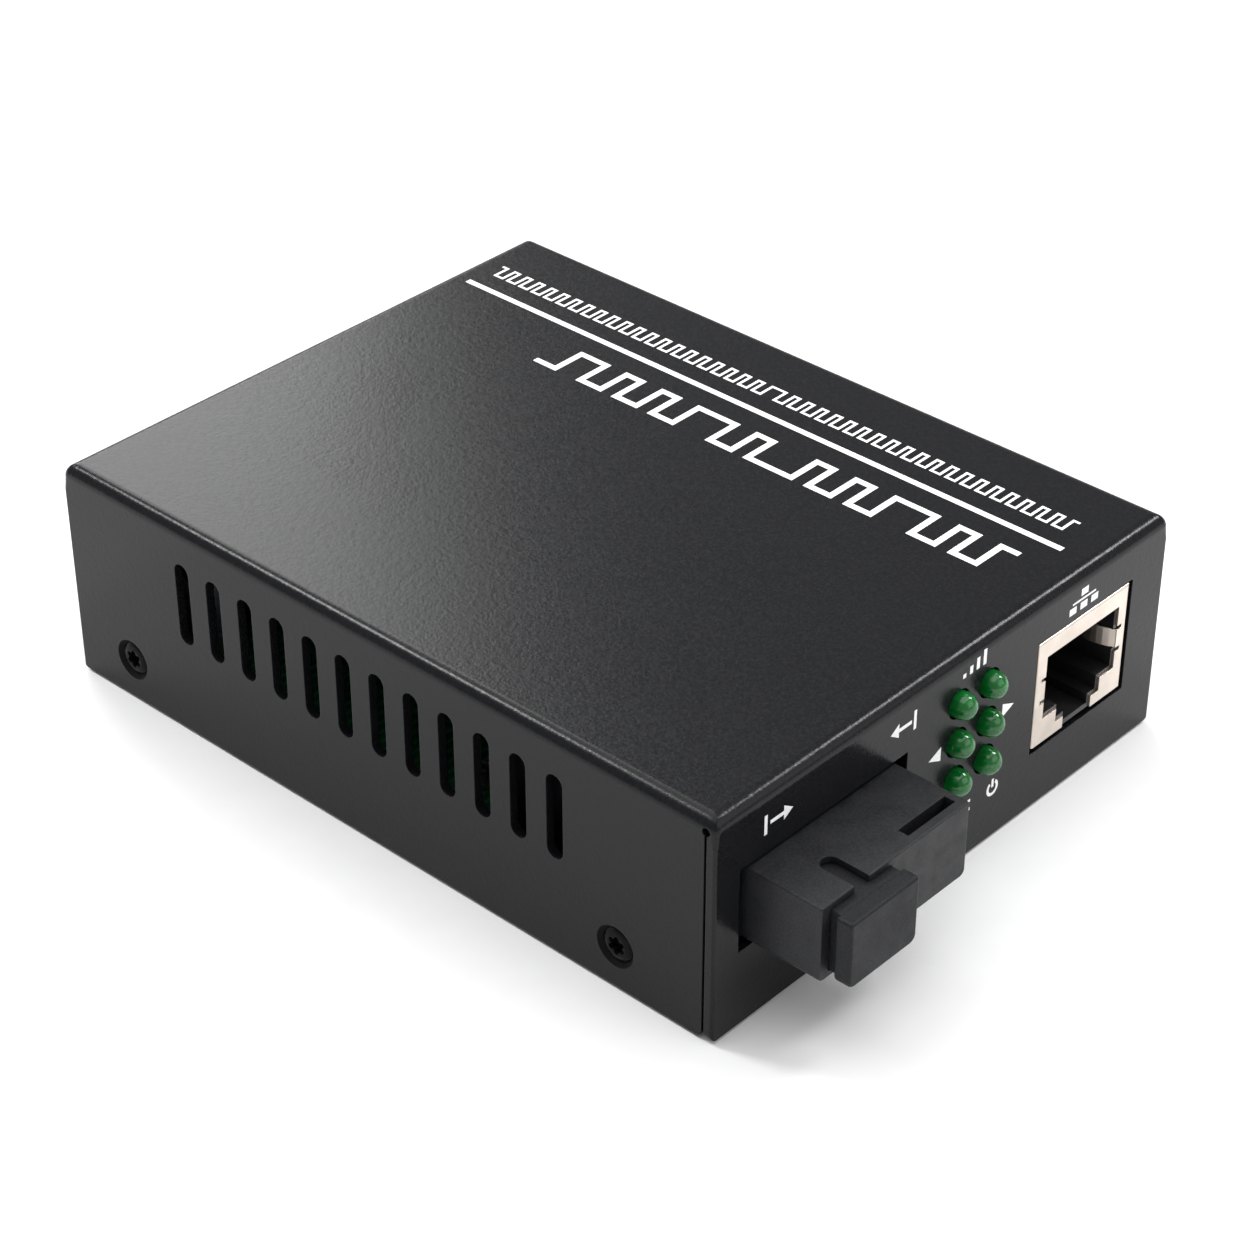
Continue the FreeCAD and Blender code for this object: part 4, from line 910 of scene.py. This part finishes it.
@dataclass
class FrontPrint:
    """White print on the front panel: arrow heads by the lamps and small plain signs.

    Attributes:
        arrow_heads: the two arrow heads.
        port_signs: the signs above the fibre port.
        level_left: the left side of the level sign's first bar.
        level_low: its lower edge.
        level_pitch: the spacing of its bars.
        level_width: a bar's width.
        level_first: how tall the first bar is.
        level_growth: how much taller each bar is than the one before.
        level_count: how many bars there are.
        power_at: the middle of the power sign's ring.
        power_radius: the ring's radius.
        power_stroke: the width of its line.
        power_start: where the ring starts, in degrees.
        power_sweep: how far it goes round, in degrees.
        power_bar_low: the lower end of its bar, above the ring's middle.
        power_bar_high: the bar's upper end.
        pair_left: the left side of the two bars of the double sign.
        pair_right: their right side.
        pair_heights: how high each of the two bars is.
        jack_boxes: the middles of the boxes of the jack's sign.
        jack_box_half: half a box's width.
        jack_box_height: how tall a box is.
        jack_link_height: how high the line that links them is.
        jack_link_half: half the line's width.
    """

    arrow_heads: tuple[ArrowHead, ...] = (
        ArrowHead("arrow_head_right", base=8.2 * MM, height=16.2 * MM, way=Way.RIGHT),
        ArrowHead("arrow_head_left", base=-2.05 * MM, height=16.35 * MM, way=Way.LEFT),
    )
    port_signs: tuple[PortSign, ...] = (
        PortSign("port_sign_out", middle=-27.0 * MM, height=22.9 * MM, bar=-29.3 * MM, way=Way.RIGHT),
        PortSign("port_sign_in", middle=-8.9 * MM, height=23.1 * MM, bar=-6.7 * MM, way=Way.LEFT),
    )
    level_left: float = 0.9 * MM
    level_low: float = 24.0 * MM
    level_pitch: float = 1.1 * MM
    level_width: float = 0.5 * MM
    level_first: float = 0.5 * MM
    level_growth: float = 0.45 * MM
    level_count: int = 4
    power_at: Point = (7.5 * MM, 6.75 * MM)
    power_radius: float = 0.8 * MM
    power_stroke: float = 0.36 * MM
    power_start: float = 125.0
    power_sweep: float = 290.0
    power_bar_low: float = 0.1 * MM
    power_bar_high: float = 1.15 * MM
    pair_left: float = 0.7 * MM
    pair_right: float = 3.7 * MM
    pair_heights: Point = (6.2 * MM, 7.3 * MM)
    jack_boxes: tuple[Point, ...] = ((21.5 * MM, 24.1 * MM), (19.6 * MM, 22.4 * MM),
                                     (21.5 * MM, 22.4 * MM), (23.4 * MM, 22.4 * MM))
    jack_box_half: float = 0.6 * MM
    jack_box_height: float = 0.85 * MM
    jack_link_height: float = 23.66 * MM
    jack_link_half: float = 0.12 * MM

    def build(self, shop: Paintshop, low: Vector, high: Vector) -> None:
        """Print the marks.

        Args:
            shop: where the ink comes from.
            low: the cover's lowest corner.
            high: its highest corner.
        """
        face = Face(Vector(((low.x + high.x) / 2, low.y, 0.0)), Vector((1, 0, 0)), Vector((0, 0, 1)),
                    shop)
        for mark in self.arrow_heads + self.port_signs:
            mark.build(face)
        self.lamp_signs(face)
        self.jack_sign(face)

    def lamp_signs(self, face: Face) -> None:
        """Print the signs above and below the lamps.

        Args:
            face: the face that they lie on.
        """
        level = Mark("lamp_sign_level", face)
        for i in range(self.level_count):
            left = self.level_left + i * self.level_pitch
            top = self.level_low + self.level_first + i * self.level_growth
            level.bar(left, self.level_low, left + self.level_width, top)
        level.finish()
        pair = Mark("lamp_sign_both_ways", face)
        half = self.power_stroke / 2
        for height in self.pair_heights:
            pair.bar(self.pair_left, height - half, self.pair_right, height + half)
        pair.finish()
        a, b = self.power_at
        power = Mark("lamp_sign_power", face)
        power.ring(a, b, self.power_radius, self.power_stroke, self.power_start, self.power_sweep)
        power.bar(a - half, b + self.power_bar_low, a + half, b + self.power_bar_high)
        power.finish()

    def jack_sign(self, face: Face) -> None:
        """Print four linked boxes above the network jack.

        Args:
            face: the face that they lie on.
        """
        net = Mark("jack_sign", face)
        half = self.jack_box_half
        for a, b in self.jack_boxes:
            net.bar(a - half, b, a + half, b + self.jack_box_height)
        left = min(a for a, _ in self.jack_boxes) - self.jack_link_half
        right = max(a for a, _ in self.jack_boxes) + self.jack_link_half
        net.bar(left, self.jack_link_height - self.jack_link_half, right,
                self.jack_link_height + self.jack_link_half)
        net.finish()


# ---------------------------------------------------------------- sub-assemblies
@dataclass(frozen=True)
class TightCorners:
    """Draws the round upper corners of the folded cover out to tight ones.

    Each point of a round corner moves outwards from the middle of its round, so the walls, the
    bends along the top, the slits and the relief holes keep their places.

    Attributes:
        bend: the bends' radius.
        rise: how far under the bends the corners start to widen.
        edge: the upright edges' radius.
        fold: the corners' new radius at the bends.
        slack: how far a point may lie off the surface.
        alike: the cosine above which a stored normal is the round's own.
    """

    bend: float = 1.5 * MM
    rise: float = 1.6 * MM
    edge: float = 0.35 * MM
    fold: float = 0.75 * MM
    slack: float = 0.012 * MM
    alike: float = 0.8

    def radii(self, drop: float) -> tuple[float, float, float] | None:
        """Give a corner's radius now, its middle's inset and its new radius.

        Args:
            drop: how far under the cover's top the point lies.

        Returns:
            The three, or None where the corner stays as it is.
        """
        if drop < self.bend:
            rise = self.bend - drop
            radius = math.sqrt(max(self.bend ** 2 - rise ** 2, 0.0))
            return radius, self.bend, self.fold * radius / self.bend
        share = 1.0 - (drop - self.bend) / self.rise
        if share <= 0.0:
            return None
        radius = self.edge + (self.bend - self.edge) * share
        return radius, radius, self.edge + (self.fold - self.edge) * share

    def move(self, point: Vector, half: Vector) -> tuple[Vector, Vector, Vector] | None:
        """Move a point of a round corner.

        Args:
            point: the point, measured from the middle of the case.
            half: half the cover's width and depth, and its top's height.

        Returns:
            Its new place, its normal before and its new normal, or None if it stays.
        """
        found = self.radii(half.z - point.z)
        if found is None:
            return None
        radius, inset, fold = found
        side = Vector((math.copysign(1.0, point.x), math.copysign(1.0, point.y)))
        off = Vector((abs(point.x) - half.x + inset, abs(point.y) - half.y + inset))
        if min(off) < self.slack or radius < self.slack or abs(off.length - radius) > self.slack:
            return None
        way = off.normalized()
        flat = radius - fold
        if radius * min(way) / max(way) <= flat:
            reach = radius / max(way)
            across = Vector((1.0, 0.0)) if way.x > way.y else Vector((0.0, 1.0))
        else:
            both = flat * (way.x + way.y)
            reach = both + math.sqrt(max(both ** 2 - 2 * flat ** 2 + fold ** 2, 0.0))
            across = (way * reach - Vector((flat, flat))).normalized()
        place = Vector((side.x * (half.x - inset + way.x * reach),
                        side.y * (half.y - inset + way.y * reach), point.z))
        lean = max(self.bend - (half.z - point.z), 0.0) / self.bend
        level = math.sqrt(1.0 - lean ** 2)
        old = Vector((side.x * way.x * level, side.y * way.y * level, lean))
        new = Vector((side.x * across.x * level, side.y * across.y * level, lean))
        return place, old, new

    def apply(self, piece: bpy.types.Object, half: Vector) -> int:
        """Move the corner points of a piece and turn their normals.

        Args:
            piece: the piece, a copy of the cover.
            half: half the cover's width and depth, and its top's height.

        Returns:
            How many points moved.
        """
        data = piece.data
        matrix = piece.matrix_world.copy()
        back = matrix.inverted()
        normals = [Vector(corner.vector) for corner in data.corner_normals]
        turned = {}
        for vertex in data.vertices:
            moved = self.move(matrix @ vertex.co, half)
            if moved is None:
                continue
            place, old, new = moved
            vertex.co = back @ place
            turned[vertex.index] = (back.to_3x3() @ old, back.to_3x3() @ new)
        for loop in data.loops:
            if loop.vertex_index in turned:
                old, new = turned[loop.vertex_index]
                if normals[loop.index].dot(old) > self.alike:
                    normals[loop.index] = new
        data.normals_split_custom_set(normals)
        return len(turned)


@dataclass
class Assembly:
    """A sub-assembly of the converter.

    Attributes:
        nodes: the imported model's nodes that it dresses.
    """

    nodes: tuple[str, ...]

    def build(self, shop: Paintshop) -> None:
        """Dress the nodes."""
        shop.dress(self.nodes)


@dataclass
class Case(Assembly):
    """The folded cover, the tray under it and the side screws.

    Attributes:
        corners: how the cover's upper corners are drawn out.
        screw_ys: where the side screws stand along the case.
        screw_z: how high they stand.
        sink_radius: the radius of the coned seats that they sit in.
        sink_depth: how deep the seats are.
        wall: the cosine above which a face belongs to the flat wall, not to a seat.
        seat: a darker, duller coat on the screws' coned seats, painted shade for the dark ring round
            each screw head.
        top_print: the print on its top.
        front_print: the print on its front panel.
    """

    nodes: tuple[str, ...] = ("cover", "base", "cover_screws")
    corners: TightCorners = field(default_factory=TightCorners)
    screw_ys: Point = (-34.55 * MM, 38.15 * MM)
    screw_z: float = 5.3 * MM
    sink_radius: float = 2.6 * MM
    sink_depth: float = 1.2 * MM
    wall: float = 0.95
    seat: Coat = Coat((0.003, 0.003, 0.0034), (0.005, 0.005, 0.0055), 0.6, gloss=0.08)
    top_print: TopPrint = field(default_factory=TopPrint)
    front_print: FrontPrint = field(default_factory=FrontPrint)

    def build(self, shop: Paintshop) -> None:
        """Dress the case and print on it.

        Args:
            shop: where the finishes come from.
        """
        super().build(shop)
        low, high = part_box("cover")
        self.fold(shop, high)
        self.top_print.build(shop, low, high)
        self.front_print.build(shop, low, high)

    def fold(self, shop: Paintshop, half: Vector) -> None:
        """Put a tight-cornered cover in place of the round-cornered one, with painted shade on its
        screw seats.

        Args:
            shop: where the finishes come from.
            half: half the cover's width and depth, and its top's height.
        """
        node = shop.nodes["cover"]
        piece = put("folded_cover", node.data.copy())
        piece.matrix_world = node.matrix_world.copy()
        bpy.context.view_layer.update()
        moved = self.corners.apply(piece, half)
        # The screws' coned seats get a darker, duller coat: painted shade for the dark ring round each
        # head.
        seat_shade_index = len(piece.data.materials)
        piece.data.materials.append(shop.material("screw_seat_painted_shade", self.seat))
        for polygon in piece.data.polygons:
            if self.in_seat(piece.matrix_world @ polygon.center, polygon.normal, half):
                polygon.material_index = seat_shade_index
        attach(piece, CHASSIS)
        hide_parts("cover")
        LOG.info("folded the cover: %d corner points moved", moved)

    def in_seat(self, middle: Vector, normal: Vector, half: Vector) -> bool:
        """Say whether a face of the cover belongs to a screw's seat.

        Args:
            middle: the face's middle.
            normal: its normal.
            half: half the cover's width and depth, and its top's height.

        Returns:
            Whether it does.
        """
        near = any(math.hypot(middle.y - y, middle.z - self.screw_z) < self.sink_radius
                   for y in self.screw_ys)
        return near and abs(middle.x) > half.x - self.sink_depth and abs(normal.x) < self.wall


@dataclass
class FibreModule(Assembly):
    """The fibre module's nose and insides, and its dust cap."""

    nodes: tuple[str, ...] = ("module_housing", "module_can", "module_board", "module_pins",
                              "latch_insert", "ferrule_sleeve", "optical_barrel", "laser_can",
                              "dust_cap")


@dataclass
class NetworkJack(Assembly):
    """The network jack: shield, insulator and contacts."""

    nodes: tuple[str, ...] = ("jack_shield", "jack_housing", "jack_contacts")


@dataclass
class LampBlock(Assembly):
    """Six lamps in their holder, with their leads.

    Attributes:
        columns: the names of the lamps' columns.
        rows: the names of their rows.
    """

    nodes: tuple[str, ...] = ("lamp_holder", "lamp_leads")
    columns: tuple[str, ...] = ("left", "right")
    rows: tuple[str, ...] = ("low", "middle", "high")

    def build(self, shop: Paintshop) -> None:
        """Dress the holder, the leads and the lamps."""
        super().build(shop)
        shop.dress(tuple(f"lamp_{column}_{row}" for column in self.columns for row in self.rows))


@dataclass
class PowerInlet(Assembly):
    """The power jack on the rear panel."""

    nodes: tuple[str, ...] = ("power_jack_body", "power_pin", "power_leaf")


@dataclass
class BoardAssembly(Assembly):
    """The main board, its fixings and the parts that stand on it."""

    nodes: tuple[str, ...] = ("main_board", "board_standoffs", "board_screws", "converter_chip",
                              "converter_chip_pins", "network_transformer", "transformer_pins",
                              "crystal_can", "supply_capacitor", "output_capacitor",
                              "power_inductor", "voltage_regulator", "chip_resistors",
                              "chip_capacitors")


# ---------------------------------------------------------------- studio
@dataclass(frozen=True)
class Softbox:
    """A soft rectangular light.

    Attributes:
        name: its name.
        at: where it stands.
        width: its width.
        height: its height.
        power: its power, in watts.
        aim: the point that it faces.
    """

    name: str
    at: Triple
    width: float
    height: float
    power: float
    aim: Triple = (0.0, 0.0, 0.01)

    def build(self) -> None:
        """Make the light."""
        data = bpy.data.lights.new(self.name, "AREA")
        data.shape = "RECTANGLE"
        data.size = self.width
        data.size_y = self.height
        data.energy = self.power
        stand(put(self.name, data), self.at, self.aim)


@dataclass
class Studio:
    """A pale floor under soft lights.

    Attributes:
        floor_half: half the floor's side.
        floor_drop: how far it lies under the case.
        paper: its finish.
        sky: the colour of the surroundings.
        sky_strength: how bright they are.
        lights: the soft lights.
    """

    floor_half: float = 6.0
    floor_drop: float = 0.05 * MM
    paper: Coat = Coat((0.88, 0.88, 0.885), (0.90, 0.90, 0.905), 0.85, grain=4.0 * MM,
                       relief=0.002 * MM, patch=90.0 * MM, gloss=0.2)
    sky: Colour = (1.0, 1.0, 1.0)
    sky_strength: float = 0.45
    lights: tuple[Softbox, ...] = (
        Softbox("overhead_light", (0.0, 0.1, 1.2), width=1.5, height=1.5, power=13.0),
        Softbox("rear_light", (0.451, 0.900, 0.654), width=0.525, height=0.6, power=6.0),
        Softbox("front_light", (0.35, -1.1, 0.7), width=1.2, height=0.9, power=5.0),
        Softbox("rear_edge_light", (-0.27, 0.73, 0.91), width=0.2, height=0.26, power=5.0),
        Softbox("right_edge_light", (0.81, -0.31, 0.83), width=0.2, height=0.26, power=5.0),
    )

    def build(self) -> None:
        """Make the floor, the lights and the surroundings."""
        self.floor()
        for light in self.lights:
            light.build()
        world = bpy.data.worlds.new("studio")
        world.use_nodes = True
        background = world.node_tree.nodes["Background"]
        background.inputs["Color"].default_value = (*self.sky, 1.0)
        background.inputs["Strength"].default_value = self.sky_strength
        bpy.context.scene.world = world
        bpy.context.scene.view_settings.view_transform = "Standard"

    def floor(self) -> None:
        """Make the floor."""
        mesh = bmesh.new()
        bmesh.ops.create_grid(mesh, x_segments=1, y_segments=1, size=self.floor_half)
        data = bpy.data.meshes.new("floor")
        mesh.to_mesh(data)
        mesh.free()
        floor = put("floor", data)
        floor.location.z = -self.floor_drop
        data.materials.append(self.paper.material("floor_paper"))


@dataclass(frozen=True)
class Camera:
    """The camera, at the front left and above.

    Attributes:
        at: where it stands.
        aim: the point that it looks at.
        lens: its focal length, in millimetres.
        sensor: its sensor's width, in millimetres.
        nearest: how near a thing may be and still show.
    """

    at: Triple = (-0.21305, -0.19813, 0.20756)
    aim: Triple = (-0.00361, -0.00594, 0.0135)
    lens: float = 91.59
    sensor: float = 36.0
    nearest: float = 0.01

    def build(self) -> None:
        """Make the camera and use it."""
        data = bpy.data.cameras.new("camera")
        data.lens = self.lens
        data.sensor_width = self.sensor
        data.clip_start = self.nearest
        camera = put("camera", data)
        stand(camera, self.at, self.aim)
        bpy.context.scene.camera = camera


def main() -> None:
    """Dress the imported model, one sub-assembly after another, and light it."""
    logging.basicConfig(level=logging.INFO, format="%(name)s: %(message)s")
    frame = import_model()
    shop = Paintshop(frame["nodes"], frame["record"])
    for assembly in (Case(), FibreModule(), NetworkJack(), LampBlock(), PowerInlet(), BoardAssembly()):
        assembly.build(shop)
    Studio().build()
    Camera().build()


if __name__ == "__main__":
    main()
